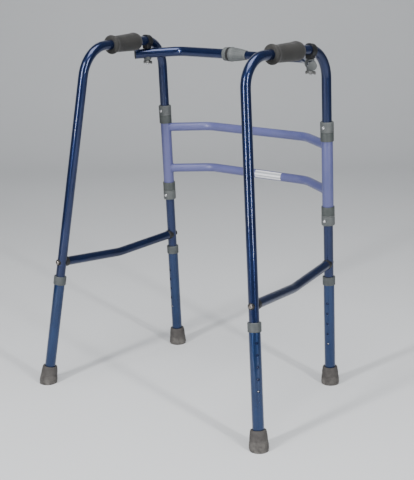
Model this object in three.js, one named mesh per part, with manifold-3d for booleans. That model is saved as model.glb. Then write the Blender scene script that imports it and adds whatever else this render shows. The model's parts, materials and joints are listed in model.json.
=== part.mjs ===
// A folding, reciprocating walking frame for an adult.
// Millimetres, +X to the user's right, +Y the way they walk, +Z up. The origin is on the floor under the
// middle of the frame's box. The two front legs are parallel and lean back a little, and every pivot axis
// is parallel to them, so the leaning group below holds all that is square to a front leg.
import * as THREE from "three";
import { mergeVertices } from "three/addons/utils/BufferGeometryUtils.js";
import Module from "manifold-3d";

const wasm = await Module();
wasm.setup();

// ---- Driving dimensions -------------------------------------------------------------------------
const handleHeight = 800; // centre line of the handles above the floor
const frontHalfWidth = 237;
const frontTopY = 147.95; // the front legs' top corners; this puts the origin at mid depth
const frontFootForward = 40.6; // the front feet stand ahead of those corners
const rearTopHalfWidth = 220;
const rearTopBehind = 278.6;
const rearFootHalfWidth = 313.6;
const rearFootBehind = 360.1;
const gap = 0.3; // clearance between pieces that touch

const frameTube = { outer: 11.1, inner: 9.6, bend: 70 };
const legTube = { outer: 12.7, inner: 11.5, bottom: 10, top: 265 };
const sleeveTube = { outer: 13, inner: 11.8, bottom: 430, top: 602 };
const crossbarTube = { outer: 10.5, inner: 9.2, bend: 60 };
const braceTube = { outer: 10.5, inner: 9.2, bend: 140 };
const strutTube = { outer: 11.5, inner: 10, bend: 45 };
const slideTube = { outer: 9.5, inner: 8.2, bend: 45 };

const crossbarHeights = { upper: 581, lower: 476 };
const crossbarBow = 58; // how far the crossbars stand ahead of the front legs
const crossbarBendX = 142;
const ringTall = 24;
const bushTall = 20;
const cupDeep = 10; // how far a sleeve end sits inside its bush
const braceHeight = 302;
const braceSag = 12;
const bracketFromCorner = 58; // along the handle, from the front corner
const strutBelowHandle = 31.5;
const strutBendX = 180;
const strutBow = 60;
const strutTipBeyondBolt = 29;
const holePitch = 25.4;
const holeCount = 5;
const snapHoleRadius = 3.7;
const buttonTravel = 3.9;
const roundSides = 16;
const plainSides = 12; // tubes that no other round piece turns on
const fineSides = 20;
const holeSides = 8;
const screwHole = 2.4;
const boltHoleRadius = 3.4;

const hands = [
  { name: "left", x: -1 },
  { name: "right", x: 1 },
];

// ---- Finishes -----------------------------------------------------------------------------------
const finishes = {
  blueTube: { color: 0x123a80, roughness: 0.28, metalness: 0.85 },
  paleBlueTube: { color: 0x2f5f9c, roughness: 0.34, metalness: 0.8 },
  lavender: { color: 0x7a80b4, roughness: 0.45, metalness: 0.1 },
  greyPlastic: { color: 0x6c7678, roughness: 0.55, metalness: 0 },
  darkPlastic: { color: 0x4f5a5c, roughness: 0.6, metalness: 0 },
  blackPlastic: { color: 0x15171a, roughness: 0.5, metalness: 0 },
  gripFoam: { color: 0x3c3c3a, roughness: 0.85, metalness: 0 },
  footRubber: { color: 0x6b6259, roughness: 0.8, metalness: 0 },
  steel: { color: 0xc8ccd0, roughness: 0.25, metalness: 1 },
};

// ---- Small helpers ------------------------------------------------------------------------------
const vector = (x, y, z) => new THREE.Vector3(x, y, z);
const along = (from, to, distance) =>
  from.clone().addScaledVector(to.clone().sub(from).normalize(), distance);

function piece(name, geometry, finish, parent) {
  const mesh = new THREE.Mesh(geometry, new THREE.MeshStandardMaterial(finishes[finish]));
  mesh.name = name;
  parent.add(mesh);
  return mesh;
}

// A group at `origin` whose +Z runs along `up` and whose +X stays as near `side` as it can.
function standing(origin, up, side) {
  const z = up.clone().normalize();
  const y = new THREE.Vector3().crossVectors(z, side).normalize();
  const x = new THREE.Vector3().crossVectors(y, z);
  const group = new THREE.Group();
  group.quaternion.setFromRotationMatrix(new THREE.Matrix4().makeBasis(x, y, z));
  group.position.copy(origin);
  group.updateMatrix();
  return group;
}

function solidOf(geometry) {
  const bare = geometry.index ? geometry.toNonIndexed() : geometry.clone();
  bare.deleteAttribute("normal");
  bare.deleteAttribute("uv");
  const merged = mergeVertices(bare, 1e-4);
  const vertProperties = merged.attributes.position.array;
  const triVerts = new Uint32Array(merged.index.array);
  return new wasm.Manifold(new wasm.Mesh({ numProp: 3, vertProperties, triVerts }));
}

function geometryOf(solid) {
  const { vertProperties, triVerts } = solid.getMesh();
  const geometry = new THREE.BufferGeometry();
  geometry.setAttribute("position", new THREE.BufferAttribute(new Float32Array(vertProperties), 3));
  geometry.setIndex(new THREE.BufferAttribute(new Uint32Array(triVerts), 1));
  geometry.computeVertexNormals();
  return geometry;
}

const cut = (body, ...tools) =>
  geometryOf(tools.reduce((whole, tool) => whole.subtract(solidOf(tool)), solidOf(body)));
const join = (body, ...others) =>
  geometryOf(others.reduce((whole, other) => whole.add(solidOf(other)), solidOf(body)));

// A round bar along +Z.
const bar = (radius, from, to, sides = 12) =>
  new THREE.CylinderGeometry(radius, radius, to - from, sides)
    .rotateX(Math.PI / 2)
    .translate(0, 0, (from + to) / 2);

// A round bar that points away from the +Z axis at `angle` round it, `height` up.
const spoke = (radius, from, to, angle, height) =>
  bar(radius, from, to, holeSides)
    .rotateY(Math.PI / 2)
    .rotateZ(angle)
    .translate(0, 0, height);

// A turned piece on the +Z axis, from [radius, height] pairs that go up the outside.
function turned(profile, sides = roundSides) {
  const points = profile.map(([radius, height]) => new THREE.Vector2(radius, height));
  return new THREE.LatheGeometry(points, sides).rotateX(Math.PI / 2);
}

// A turned ring: the profile is closed on itself, so the ring has a bore.
const turnedRing = (profile, sides = roundSides) => turned([...profile, profile[0]], sides);

function circle(Kind, radius, sides) {
  const points = [];
  for (let i = 0; i < sides; i++) {
    const angle = (2 * Math.PI * i) / sides;
    points.push(new THREE.Vector2(radius * Math.cos(angle), radius * Math.sin(angle)));
  }
  return new Kind(points);
}

// A route of straight runs joined by round bends, with stops only where it starts, turns and ends.
class BentRoute extends THREE.Curve {
  constructor(corners, bendRadius, stepsPerBend) {
    super();
    this.stops = [{ point: corners[0], tangent: corners[1].clone().sub(corners[0]).normalize() }];
    for (let i = 1; i < corners.length - 1; i++) {
      const arriving = corners[i].clone().sub(corners[i - 1]).normalize();
      const leaving = corners[i + 1].clone().sub(corners[i]).normalize();
      const turn = arriving.angleTo(leaving);
      const start = corners[i].clone().addScaledVector(arriving, -bendRadius * Math.tan(turn / 2));
      const inward = leaving.clone().sub(arriving).normalize();
      const centre = corners[i].clone().addScaledVector(inward, bendRadius / Math.cos(turn / 2));
      const spokeOut = start.clone().sub(centre).normalize();
      for (let k = 0; k <= stepsPerBend; k++) {
        const angle = (turn * k) / stepsPerBend;
        const point = centre.clone();
        point.addScaledVector(spokeOut, bendRadius * Math.cos(angle));
        point.addScaledVector(arriving, bendRadius * Math.sin(angle));
        const tangent = arriving.clone().multiplyScalar(Math.cos(angle));
        tangent.addScaledVector(spokeOut, -Math.sin(angle));
        this.stops.push({ point, tangent });
      }
    }
    const [last, before] = [corners.at(-1), corners.at(-2)];
    this.stops.push({ point: last, tangent: last.clone().sub(before).normalize() });
  }
  get steps() {
    return this.stops.length - 1;
  }
  getPoint(t, target = new THREE.Vector3()) {
    return target.copy(this.stops[Math.round(t * this.steps)].point);
  }
  getTangent(t, target = new THREE.Vector3()) {
    return target.copy(this.stops[Math.round(t * this.steps)].tangent);
  }
  getPointAt(u, target) {
    return this.getPoint(u, target);
  }
  getTangentAt(u, target) {
    return this.getTangent(u, target);
  }
}

function bentTube(tube, corners, stepsPerBend, sides = roundSides) {
  const route = new BentRoute(corners, tube.bend, stepsPerBend);
  const section = circle(THREE.Shape, tube.outer, sides);
  if (tube.inner) section.holes.push(circle(THREE.Path, tube.inner, sides));
  return new THREE.ExtrudeGeometry(section, { steps: route.steps, extrudePath: route });
}

function straightTube(tube, bottom, top, sides = roundSides) {
  const { outer, inner } = tube;
  return turnedRing([[inner, bottom], [outer, bottom], [outer, top], [inner, top]], sides);
}

// ---- Where the legs and handles run -------------------------------------------------------------
const frontTop = (hand) => vector(hand.x * frontHalfWidth, frontTopY, handleHeight);
const frontFoot = (hand) => vector(hand.x * frontHalfWidth, frontTopY + frontFootForward, 0);
const rearTop = (hand) => vector(hand.x * rearTopHalfWidth, frontTopY - rearTopBehind, handleHeight);
const rearFoot = (hand) => vector(hand.x * rearFootHalfWidth, frontTopY - rearFootBehind, 0);
const sideways = vector(1, 0, 0);
const lean = Math.atan2(frontFootForward, handleHeight);

// The snap buttons face backwards, turned a little outwards.
const snapAngle = (turn) => (hand) => -Math.PI / 2 + hand.x * turn;
const legs = [
  { name: "front", foot: frontFoot, top: frontTop, snapHeight: 105, snapAngle: snapAngle(0.24) },
  { name: "rear", foot: rearFoot, top: rearTop, snapHeight: 127, snapAngle: snapAngle(0.9) },
];
const legFrame = (leg, hand) => {
  const foot = leg.foot(hand);
  return standing(foot, leg.top(hand).sub(foot), sideways);
};
const heightOnLeg = (leg, hand, height) => {
  const foot = leg.foot(hand);
  return foot.lerp(leg.top(hand), height / handleHeight);
};

// The brace runs level from leg to leg with one shallow sag, and its end screws follow its end runs.
function braceRun(hand) {
  const [front, rear] = legs.map((leg) => heightOnLeg(leg, hand, braceHeight));
  const middle = front.clone().lerp(rear, 0.5).add(vector(0, 0, -braceSag));
  const ends = [
    { name: "front", axis: front, inward: middle.clone().sub(front).normalize(), leg: legs[0] },
    { name: "rear", axis: rear, inward: middle.clone().sub(rear).normalize(), leg: legs[1] },
  ];
  return { middle, ends };
}

const model = new THREE.Group();
const leaning = new THREE.Group();
leaning.rotation.x = lean;
leaning.position.set(0, frontTopY + frontFootForward, 0);
leaning.updateMatrix();
model.add(leaning);

// ---- Front H frame ------------------------------------------------------------------------------
function frontFrame() {
  for (const hand of hands) {
    const { bottom, top } = sleeveTube;
    const sleeve = straightTube(sleeveTube, bottom, top, fineSides);
    piece(`${hand.name}_sleeve`, sleeve, "lavender", leaning).position.x = hand.x * frontHalfWidth;
  }
  for (const [level, height] of Object.entries(crossbarHeights)) {
    const corners = [
      vector(-frontHalfWidth, 0, height),
      vector(-crossbarBendX, crossbarBow, height),
      vector(crossbarBendX, crossbarBow, height),
      vector(frontHalfWidth, 0, height),
    ];
    const cope = bar(sleeveTube.outer + gap, height - 30, height + 30, roundSides);
    const copes = hands.map((hand) => cope.clone().translate(hand.x * frontHalfWidth, 0, 0));
    const tube = bentTube(crossbarTube, corners, 4, plainSides);
    piece(`${level}_crossbar`, cut(tube, ...copes), "lavender", leaning);
  }
}

// ---- Bushes, retaining rings and their screws on the front legs ----------------------------------
const sleeveCollars = [
  { level: "upper", face: sleeveTube.top - cupDeep, way: 1 },
  { level: "lower", face: sleeveTube.bottom + cupDeep, way: -1 },
];
const ringScrewHeights = sleeveCollars.map(({ face, way }) => face + way * (bushTall + gap + ringTall / 2));

// A bush is a cup: the sleeve's end sits in its counterbore and the leg turns in its bore.
function bushGeometry() {
  const bore = frameTube.outer + 0.6;
  const cup = sleeveTube.outer + 0.4;
  const outside = 15.2;
  return turnedRing(
    [
      [bore, cupDeep + gap], [cup, cupDeep + gap], [cup, 0],
      [outside, 0], [outside, bushTall], [bore, bushTall],
    ],
    fineSides,
  );
}

function ringGeometry(way) {
  const bore = frameTube.outer + gap;
  const outside = 15.5;
  const chamfer = 1.2;
  const body = turnedRing([
    [bore, 0],
    [outside, 0],
    [outside, ringTall - chamfer],
    [outside - chamfer, ringTall],
    [bore, ringTall],
  ], fineSides);
  return cut(body, spoke(screwHole, 5, 25, (-way * Math.PI) / 2, ringTall / 2));
}

const ringScrew = () =>
  turned([[0, 0], [2, 0], [2, 8.4], [3.6, 8.4], [3.6, 9.6], [2.6, 10.8], [0, 11.1]], 12);

function sleeveCollarSet(hand) {
  for (const { level, face, way } of sleeveCollars) {
    const stack = new THREE.Group();
    stack.position.set(hand.x * frontHalfWidth, 0, face);
    stack.rotation.x = way > 0 ? 0 : Math.PI;
    leaning.add(stack);
    piece(`${hand.name}_${level}_bush`, bushGeometry(), "darkPlastic", stack);
    const ring = piece(`${hand.name}_${level}_ring`, ringGeometry(way), "greyPlastic", stack);
    ring.position.z = bushTall + gap;
    const screw = piece(`${hand.name}_${level}_ring_screw`, ringScrew(), "steel", stack);
    screw.position.set(0, -way * 7.4, bushTall + gap + ringTall / 2);
    screw.rotation.x = (way * Math.PI) / 2;
  }
}

// ---- Side frames --------------------------------------------------------------------------------
const sideTubeBendSteps = 5;

function sideTubeCorners(hand) {
  const tubeEnd = (leg) => along(leg.foot(hand), leg.top(hand), leg.snapHeight - 27);
  return [tubeEnd(legs[0]), frontTop(hand), rearTop(hand), tubeEnd(legs[1])];
}

function sideTube(hand) {
  const holes = [];
  for (const leg of legs) {
    const frame = legFrame(leg, hand);
    holes.push(spoke(snapHoleRadius, 5, 16, leg.snapAngle(hand), leg.snapHeight).applyMatrix4(frame.matrix));
  }
  for (const height of ringScrewHeights) {
    const frame = legFrame(legs[0], hand);
    holes.push(spoke(screwHole, 5, 16, -Math.PI / 2, height).applyMatrix4(frame.matrix));
  }
  for (const end of braceRun(hand).ends) {
    const frame = standing(end.axis, end.inward, sideways);
    holes.push(bar(braceScrewHole, -20, 20, holeSides).applyMatrix4(frame.matrix));
  }
  const tube = bentTube(frameTube, sideTubeCorners(hand), sideTubeBendSteps);
  piece(`${hand.name}_side_tube`, cut(tube, ...holes), "blueTube", model);
}

const gripProfile = [
  [frameTube.outer + gap, 0], [19.4, 0], [21.6, 1.6], [22, 4.5], [21.4, 8], [19.9, 14], [19.7, 22],
  [20.2, 40], [20.6, 70], [21.4, 84], [21.2, 91], [19.6, 97], [16.6, 100], [frameTube.outer + gap, 100],
];
const gripRearEnd = 194; // along the handle, from the front corner

function grip(hand) {
  const forward = frontTop(hand).sub(rearTop(hand));
  const frame = standing(along(frontTop(hand), rearTop(hand), gripRearEnd), forward, sideways);
  model.add(frame);
  piece(`${hand.name}_grip`, turnedRing(gripProfile, fineSides), "gripFoam", frame);
}

// ---- Braces -------------------------------------------------------------------------------------
const saddle = {
  near: frameTube.outer + gap,
  outer: 11.6,
  flange: 16,
  spigot: braceTube.inner - 0.6,
  spigotEnd: 30,
};
const braceScrewHole = 2.9;

function saddleGeometry(legDirection) {
  const flange = bar(saddle.outer, 4, saddle.flange, roundSides);
  const spigot = bar(saddle.spigot, saddle.flange - 1, saddle.spigotEnd, roundSides);
  const legRoom = bar(saddle.near, -40, 40, fineSides);
  legRoom.applyQuaternion(new THREE.Quaternion().setFromUnitVectors(vector(0, 0, 1), legDirection));
  return cut(join(flange, spigot), legRoom, bar(braceScrewHole, 0, 40, holeSides));
}

// The screw goes in from the leg's far side, so its head is behind the leg and its tip in the saddle.
const braceScrew = () =>
  turned([[0, -16.4], [3.2, -15.9], [5, -14.4], [5, -13], [2.4, -13], [2.4, 24], [0, 26]], 12);

function brace(hand) {
  const { middle, ends } = braceRun(hand);
  const tubeStart = (end) => end.axis.clone().addScaledVector(end.inward, saddle.flange + gap);
  const corners = [tubeStart(ends[0]), middle, tubeStart(ends[1])];
  piece(`${hand.name}_brace`, bentTube(braceTube, corners, 4, plainSides), "blueTube", model);
  for (const end of ends) {
    const frame = standing(end.axis, end.inward, sideways);
    model.add(frame);
    const legDirection = end.leg.top(hand).sub(end.leg.foot(hand)).normalize();
    const inFrame = legDirection.applyQuaternion(frame.quaternion.clone().invert());
    piece(`${hand.name}_${end.name}_brace_saddle`, saddleGeometry(inFrame), "greyPlastic", frame);
    piece(`${hand.name}_${end.name}_brace_screw`, braceScrew(), "steel", frame);
  }
}

// ---- Lower legs, collars, feet and snap buttons ---------------------------------------------------
function lowerLegGeometry(leg, hand) {
  const holes = [];
  for (let i = 0; i < holeCount; i++) {
    holes.push(spoke(snapHoleRadius, 8, 16, leg.snapAngle(hand), leg.snapHeight + i * holePitch));
  }
  return cut(straightTube(legTube, legTube.bottom, legTube.top), ...holes);
}

// The collar caps the lower leg's top end and centres the upper tube in it.
function collarGeometry() {
  const lip = frameTube.outer + 0.4;
  const cup = legTube.outer + gap;
  return turnedRing([
    [cup, -14], [14.8, -14], [14.8, 5], [13.8, 6], [lip, 6], [lip, gap], [cup, gap],
  ], fineSides);
}

// The foot's walls follow the leg, and its sole is cut level by the floor.
function footGeometry(frame) {
  const below = -10;
  const bore = legTube.outer + gap;
  const body = turned([
    [0, below], [20.4, below], [20.4, 0], [21.2, 4], [21.1, 11], [19.4, 30], [18, 39], [16.6, 43], [bore, 44],
    [bore, legTube.bottom - gap], [0, legTube.bottom - gap],
  ], fineSides);
  body.applyMatrix4(frame.matrix);
  const ground = new THREE.BoxGeometry(200, 200, 40).translate(frame.position.x, frame.position.y, -20);
  return cut(body, ground);
}

// Button and leaf spring in one piece: the leaf is bent back on itself inside the side tube. It is built
// held in, so that its leg is free to slide, and springs out through the leg's hole by its travel.
function snapButtonGeometry() {
  const stud = turned([[0, 7.5], [3.2, 7.5], [3.2, 13.4], [2.4, 14.6], [0, 15.1]], 12).rotateY(Math.PI / 2);
  const outline = new THREE.Shape();
  outline.moveTo(7.2, 7);
  outline.lineTo(8.2, 7);
  outline.lineTo(8.2, -20);
  outline.absarc(2.2, -20, 6, 0, -Math.PI, true);
  outline.lineTo(-3.8, -2);
  outline.lineTo(-2.8, -2);
  outline.lineTo(-2.8, -20);
  outline.absarc(2.2, -20, 5, -Math.PI, 0, false);
  const leaf = new THREE.ExtrudeGeometry(outline, { depth: 5, bevelEnabled: false, curveSegments: 5 });
  leaf.translate(0, 0, -2.5).rotateX(Math.PI / 2);
  return join(stud, leaf).translate(-buttonTravel, 0, 0);
}

function lowerLegs(hand) {
  for (const leg of legs) {
    const label = `${hand.name}_${leg.name}`;
    const frame = legFrame(leg, hand);
    model.add(frame);
    piece(`${label}_lower_leg`, lowerLegGeometry(leg, hand), "paleBlueTube", frame);
    piece(`${label}_collar`, collarGeometry(), "greyPlastic", frame).position.z = legTube.top;
    piece(`${label}_foot`, footGeometry(frame), "footRubber", model);
    const button = piece(`${label}_snap_button`, snapButtonGeometry(), "steel", frame);
    button.position.z = leg.snapHeight;
    button.rotation.z = leg.snapAngle(hand);
  }
}

// ---- Top strut ----------------------------------------------------------------------------------
// The strut lies square to the front legs. Its bolts stand under the handles, just ahead of the grips.
function boltPlace(hand) {
  const handle = along(frontTop(hand), rearTop(hand), bracketFromCorner);
  const place = handle.applyMatrix4(leaning.matrix.clone().invert());
  place.z -= strutBelowHandle;
  return place;
}
const boltX = boltPlace(hands[1]).x;
const boltY = boltPlace(hands[1]).y;
const strutHeight = boltPlace(hands[1]).z;
const lugFace = strutTube.outer + 0.4; // the bracket's flat underside, above the strut's centre line
const lockStart = -44; // the lock collar's left face
const nutStart = -25.4;
const nutEnd = 20;

const strutFrame = new THREE.Group();
strutFrame.position.set(0, 0, strutHeight);
leaning.add(strutFrame);

const endRun = vector(boltX - strutBendX, -strutBow, 0).normalize();
const bendPoint = (hand) => vector(hand.x * strutBendX, boltY + strutBow, 0);
const boltPoint = (hand) => vector(hand.x * boltX, boltY, 0);
const tipPoint = (hand) => {
  const out = vector(hand.x * endRun.x, endRun.y, 0);
  return boltPoint(hand).addScaledVector(out, strutTipBeyondBolt);
};
const middleY = boltY + strutBow;

const boltHole = (hand) => bar(boltHoleRadius, -30, 30).translate(hand.x * boltX, boltY, 0);

function strutTubes() {
  const [left, right] = hands;
  const outer = [tipPoint(left), bendPoint(left), vector(lockStart + 14, middleY, 0)];
  const outerTube = bentTube(strutTube, outer, 4, plainSides);
  piece("strut_outer_tube", cut(outerTube, boltHole(left)), "blueTube", strutFrame);
  const inner = [vector(-100, middleY, 0), bendPoint(right), tipPoint(right)];
  const innerTube = bentTube(slideTube, inner, 4, plainSides);
  piece("strut_inner_tube", cut(innerTube, boltHole(right)), "blueTube", strutFrame);
}

function strutLock() {
  const alongStrut = new THREE.Group();
  alongStrut.position.set(0, middleY, 0);
  alongStrut.rotation.y = Math.PI / 2;
  strutFrame.add(alongStrut);
  const tubeRoom = strutTube.outer + gap;
  const slideRoom = slideTube.outer + 0.4;
  const collarEnd = lockStart + 11.4;
  const collar = turnedRing([
    [tubeRoom, lockStart], [14.6, lockStart], [16, lockStart + 1.5], [16, collarEnd], [tubeRoom, collarEnd],
  ], fineSides);
  piece("lock_collar", collar, "greyPlastic", alongStrut);
  const ringStart = lockStart + 11.8;
  const lockRing = turnedRing([
    [slideRoom, lockStart + 14.4], [tubeRoom, lockStart + 14.4], [tubeRoom, ringStart], [16.6, ringStart],
    [16.6, nutStart - 0.4], [slideRoom, nutStart - 0.4],
  ], fineSides);
  piece("lock_ring", lockRing, "blackPlastic", alongStrut);
  const nut = turnedRing([
    [slideRoom, nutStart], [16.4, nutStart], [17.2, nutStart + 1], [17, nutStart + 5], [11.2, nutEnd - 1],
    [10.8, nutEnd], [slideRoom, nutEnd],
  ], fineSides);
  piece("lock_nut", nut, "greyPlastic", alongStrut);
}

// A strap round the handle with a lug under it. The lug's flat underside is square to the bolt.
function bracket(hand) {
  const forward = frontTop(hand).sub(rearTop(hand)).normalize();
  forward.applyQuaternion(leaning.quaternion.clone().invert());
  const turn = new THREE.Quaternion().setFromUnitVectors(vector(0, 0, 1), forward);
  const strap = bar(14, -7, 7, fineSides).applyQuaternion(turn);
  const lugTall = strutBelowHandle - lugFace;
  const lug = new THREE.BoxGeometry(17, 14, lugTall).translate(0, 0, -lugTall / 2);
  const boltRoom = bar(3.5, -strutBelowHandle, -14);
  const bodyPlace = vector(hand.x * boltX, boltY, strutBelowHandle);
  const body = cut(join(strap, lug), boltRoom).translate(...bodyPlace);
  const roomTube = { outer: frameTube.outer + gap, bend: frameTube.bend };
  const handleRoom = bentTube(roomTube, sideTubeCorners(hand), sideTubeBendSteps);
  strutFrame.updateWorldMatrix(true, false);
  handleRoom.applyMatrix4(strutFrame.matrixWorld.clone().invert());
  piece(`${hand.name}_strut_bracket`, cut(body, handleRoom), "greyPlastic", strutFrame);
}

// The left end's saddle hugs the strut from below; the bolt goes through both into the bracket.
function leftStrutEnd() {
  const [left] = hands;
  const end = new THREE.Group();
  end.position.copy(boltPoint(left));
  strutFrame.add(end);
  const strutRoom = bar(strutTube.outer + gap, -40, 40, fineSides);
  const run = vector(-endRun.x, endRun.y, 0);
  strutRoom.applyQuaternion(new THREE.Quaternion().setFromUnitVectors(vector(0, 0, 1), run));
  const pad = turned([[0, -15.5], [8, -15.5], [9.3, -14], [9.3, -4], [0, -4]]);
  piece("left_strut_saddle", cut(pad, strutRoom, bar(boltHoleRadius, -30, 0)), "greyPlastic", end);
  piece("left_strut_bolt", turned([[0, -27], [3, -26], [3, 16], [0, 16]], 12), "steel", end);
  piece("left_wing_nut", wingNut().translate(0, 0, -15.9), "steel", end);
}

// The right end's block clamps the thinner inner tube and makes it as tall as the outer one.
function rightStrutEnd() {
  const [, right] = hands;
  const end = new THREE.Group();
  end.position.copy(boltPoint(right));
  strutFrame.add(end);
  const turn = new THREE.Quaternion().setFromUnitVectors(vector(0, 0, 1), endRun);
  const tubeRoom = bar(slideTube.outer + gap, -40, 40, fineSides).applyQuaternion(turn);
  const clamp = bar(11.4, -11, 11, fineSides).applyQuaternion(turn);
  const boss = bar(9, -13, lugFace - 0.4);
  const block = cut(join(clamp, boss), tubeRoom, bar(boltHoleRadius, -30, 30));
  piece("right_strut_block", block, "greyPlastic", end);
  piece("right_strut_bolt", turned([[0, -25], [3, -24], [3, 10], [0, 10]], 12), "steel", end);
  piece("right_wing_nut", wingNut().translate(0, 0, -13.4), "steel", end);
}

// A wing nut that hangs from its top face at height 0.
function wingNut() {
  const wing = new THREE.Shape();
  wing.moveTo(3, -1.5);
  wing.lineTo(8, -0.8);
  wing.quadraticCurveTo(13.5, -1.5, 13.5, -6);
  wing.quadraticCurveTo(13.5, -9.5, 10.5, -9);
  wing.lineTo(3, -6.5);
  const options = { depth: 2.4, bevelEnabled: false, curveSegments: 4 };
  const one = new THREE.ExtrudeGeometry(wing, options).translate(0, 0, -1.2).rotateX(Math.PI / 2);
  const other = one.clone().rotateZ(Math.PI);
  const hub = turned([[0, -8], [4.6, -8], [5.6, -0.8], [5.2, 0], [0, 0]], 12);
  return cut(join(hub, one, other), bar(boltHoleRadius, -20, 20));
}

frontFrame();
for (const hand of hands) {
  sleeveCollarSet(hand);
  sideTube(hand);
  grip(hand);
  brace(hand);
  lowerLegs(hand);
  bracket(hand);
}
strutTubes();
strutLock();
leftStrutEnd();
rightStrutEnd();

export default model;
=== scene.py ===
# %% [markdown]
# # A folding walking frame
# The real thing is two bent aluminium tubes with hand grips. They swivel in a coated H-shaped front
# frame, a telescopic strut holds them apart at the top, and each leg slides in a wider lower leg with a
# rubber foot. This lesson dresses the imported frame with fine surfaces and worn, everyday finishes.

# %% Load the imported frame
import json
import math

import bmesh
import bpy
from mathutils import Matrix, Vector


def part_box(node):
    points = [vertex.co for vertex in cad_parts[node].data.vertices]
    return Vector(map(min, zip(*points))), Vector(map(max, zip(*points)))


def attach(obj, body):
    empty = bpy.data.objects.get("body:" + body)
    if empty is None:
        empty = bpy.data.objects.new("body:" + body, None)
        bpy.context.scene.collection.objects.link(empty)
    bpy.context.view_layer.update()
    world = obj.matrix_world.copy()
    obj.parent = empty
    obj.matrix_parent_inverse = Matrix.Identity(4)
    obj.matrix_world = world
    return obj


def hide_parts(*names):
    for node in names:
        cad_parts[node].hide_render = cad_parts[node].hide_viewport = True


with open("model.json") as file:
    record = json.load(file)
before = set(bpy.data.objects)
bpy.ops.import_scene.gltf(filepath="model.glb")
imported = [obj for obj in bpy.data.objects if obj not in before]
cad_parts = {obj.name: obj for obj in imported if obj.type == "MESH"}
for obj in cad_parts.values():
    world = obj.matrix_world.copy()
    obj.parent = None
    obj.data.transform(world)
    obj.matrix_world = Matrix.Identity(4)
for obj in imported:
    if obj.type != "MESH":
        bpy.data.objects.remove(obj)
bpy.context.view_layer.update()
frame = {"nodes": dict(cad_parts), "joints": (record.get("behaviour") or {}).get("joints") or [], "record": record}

print("packed nodes:", len(frame["nodes"]))

# %% [markdown]
# ## Where things are
# Every leg has an axis, and every ring, bush, collar and foot is centred on one. So a place is read
# from the frame: a foot sole gives a point, a joint gives a direction, and a node's own corners give
# how far it reaches along that direction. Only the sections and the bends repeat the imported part's own.

# %% Directions and reaches
mm = 0.001
HANDS = {"left": -1, "right": 1}
LEGS = ("front", "rear")
LEVELS = ("upper", "lower")
SIDEWAYS = Vector((1, 0, 0))
record = frame["record"]
joints = {joint["name"]: joint for joint in frame["joints"]}
soles = {mount["name"]: Vector(mount["pos_m"]) for mount in record["mounts"]}
body_of = {node: body for body, nodes in record["behaviour"]["bodies"].items() for node in nodes}
slot_of = {part["node"]: part["material_slot"] for part in record["subparts"]}

UP = Vector(joints["left_fold"]["axis"]).normalized()
FORWARD = UP.cross(SIDEWAYS)


def reach(node, origin, direction):
    """How far a node reaches from a point along a direction, lowest and highest, in millimetres."""
    steps = [(vertex.co - origin).dot(direction) / mm for vertex in frame["nodes"][node].data.vertices]
    return min(steps), max(steps)


def standing(origin, up, side=SIDEWAYS):
    """A place whose +Z runs along up, and whose +X stays as near side as it can."""
    z = up.normalized()
    y = z.cross(side).normalized()
    x = y.cross(z)
    return Matrix.Translation(origin) @ Matrix((x, y, z)).transposed().to_4x4()


def leg_place(hand, leg):
    """The leg's own place: its sole, with +Z up the leg."""
    up = -Vector(joints[f"{hand}_{leg}_leg_height"]["axis"])
    return standing(soles[f"{hand}_{leg}_foot_sole"], up)


def up_of(place):
    return place.to_3x3() @ Vector((0, 0, 1))


TUBE = 11.1
handle_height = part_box("left_side_tube")[1].z - TUBE * mm


def leg_top(hand, leg):
    """Where the leg's axis meets the height of the handle."""
    place = leg_place(hand, leg)
    up = up_of(place)
    return place.translation + up * (handle_height / up.z)


print("handle height, mm:", round(handle_height / mm, 1))

# %% [markdown]
# ## Writing shaders as sums
# A material is a graph, and a graph is easier to read as arithmetic. One small class wraps a socket:
# plus, minus and times add Math nodes, and one method adds any other node.


# %% A socket that can be added and multiplied
class Wire:
    """An output socket in a material. Arithmetic on it adds Math nodes."""

    def __init__(self, tree, socket=None):
        self.tree = tree
        self.socket = socket

    def node(self, kind, settings=None, inputs=None, output=0):
        made = self.tree.nodes.new(kind)
        for name, value in (settings or {}).items():
            setattr(made, name, value)
        for name, value in (inputs or {}).items():
            if isinstance(value, Wire):
                self.tree.links.new(value.socket, made.inputs[name])
            else:
                made.inputs[name].default_value = value
        return Wire(self.tree, made.outputs[output])

    def maths(self, operation, first, second):
        return self.node("ShaderNodeMath", {"operation": operation}, {0: first, 1: second})

    def __add__(self, other):
        return self.maths("ADD", self, other)

    def __sub__(self, other):
        return self.maths("SUBTRACT", self, other)

    def __rsub__(self, other):
        return self.maths("SUBTRACT", other, self)

    def __mul__(self, other):
        return self.maths("MULTIPLY", self, other)

    __radd__ = __add__
    __rmul__ = __mul__

    def clipped(self, low, high):
        """The value stretched so that low becomes 0 and high becomes 1, and held there."""
        inputs = {"Value": self, "From Min": low, "From Max": high}
        return self.node("ShaderNodeMapRange", {"clamp": True}, inputs)


# %% Nodes that several finishes share
def new_finish(name, **constants):
    """A material with its shader, and a wire to grow its graph from."""
    material = bpy.data.materials.new(name)
    material.use_nodes = True
    shader = material.node_tree.nodes["Principled BSDF"]
    for socket, value in constants.items():
        shader.inputs[socket.replace("_", " ")].default_value = value
    return material, shader, Wire(material.node_tree)


def object_place(wire):
    return wire.node("ShaderNodeTexCoord", output="Object")


def drawn_place(wire, around, along):
    """The attribute that runs round and along a tube, stretched into fine long streaks."""
    place = wire.node("ShaderNodeAttribute", {"attribute_name": "drawn"}, output="Vector")
    inputs = {0: place, 1: (around, around, along)}
    return wire.node("ShaderNodeVectorMath", {"operation": "MULTIPLY"}, inputs)


def noise(wire, place, scale, detail=3.0, roughness=0.5):
    inputs = {"Vector": place, "Scale": scale, "Detail": detail, "Roughness": roughness}
    return wire.node("ShaderNodeTexNoise", {}, inputs)


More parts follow.
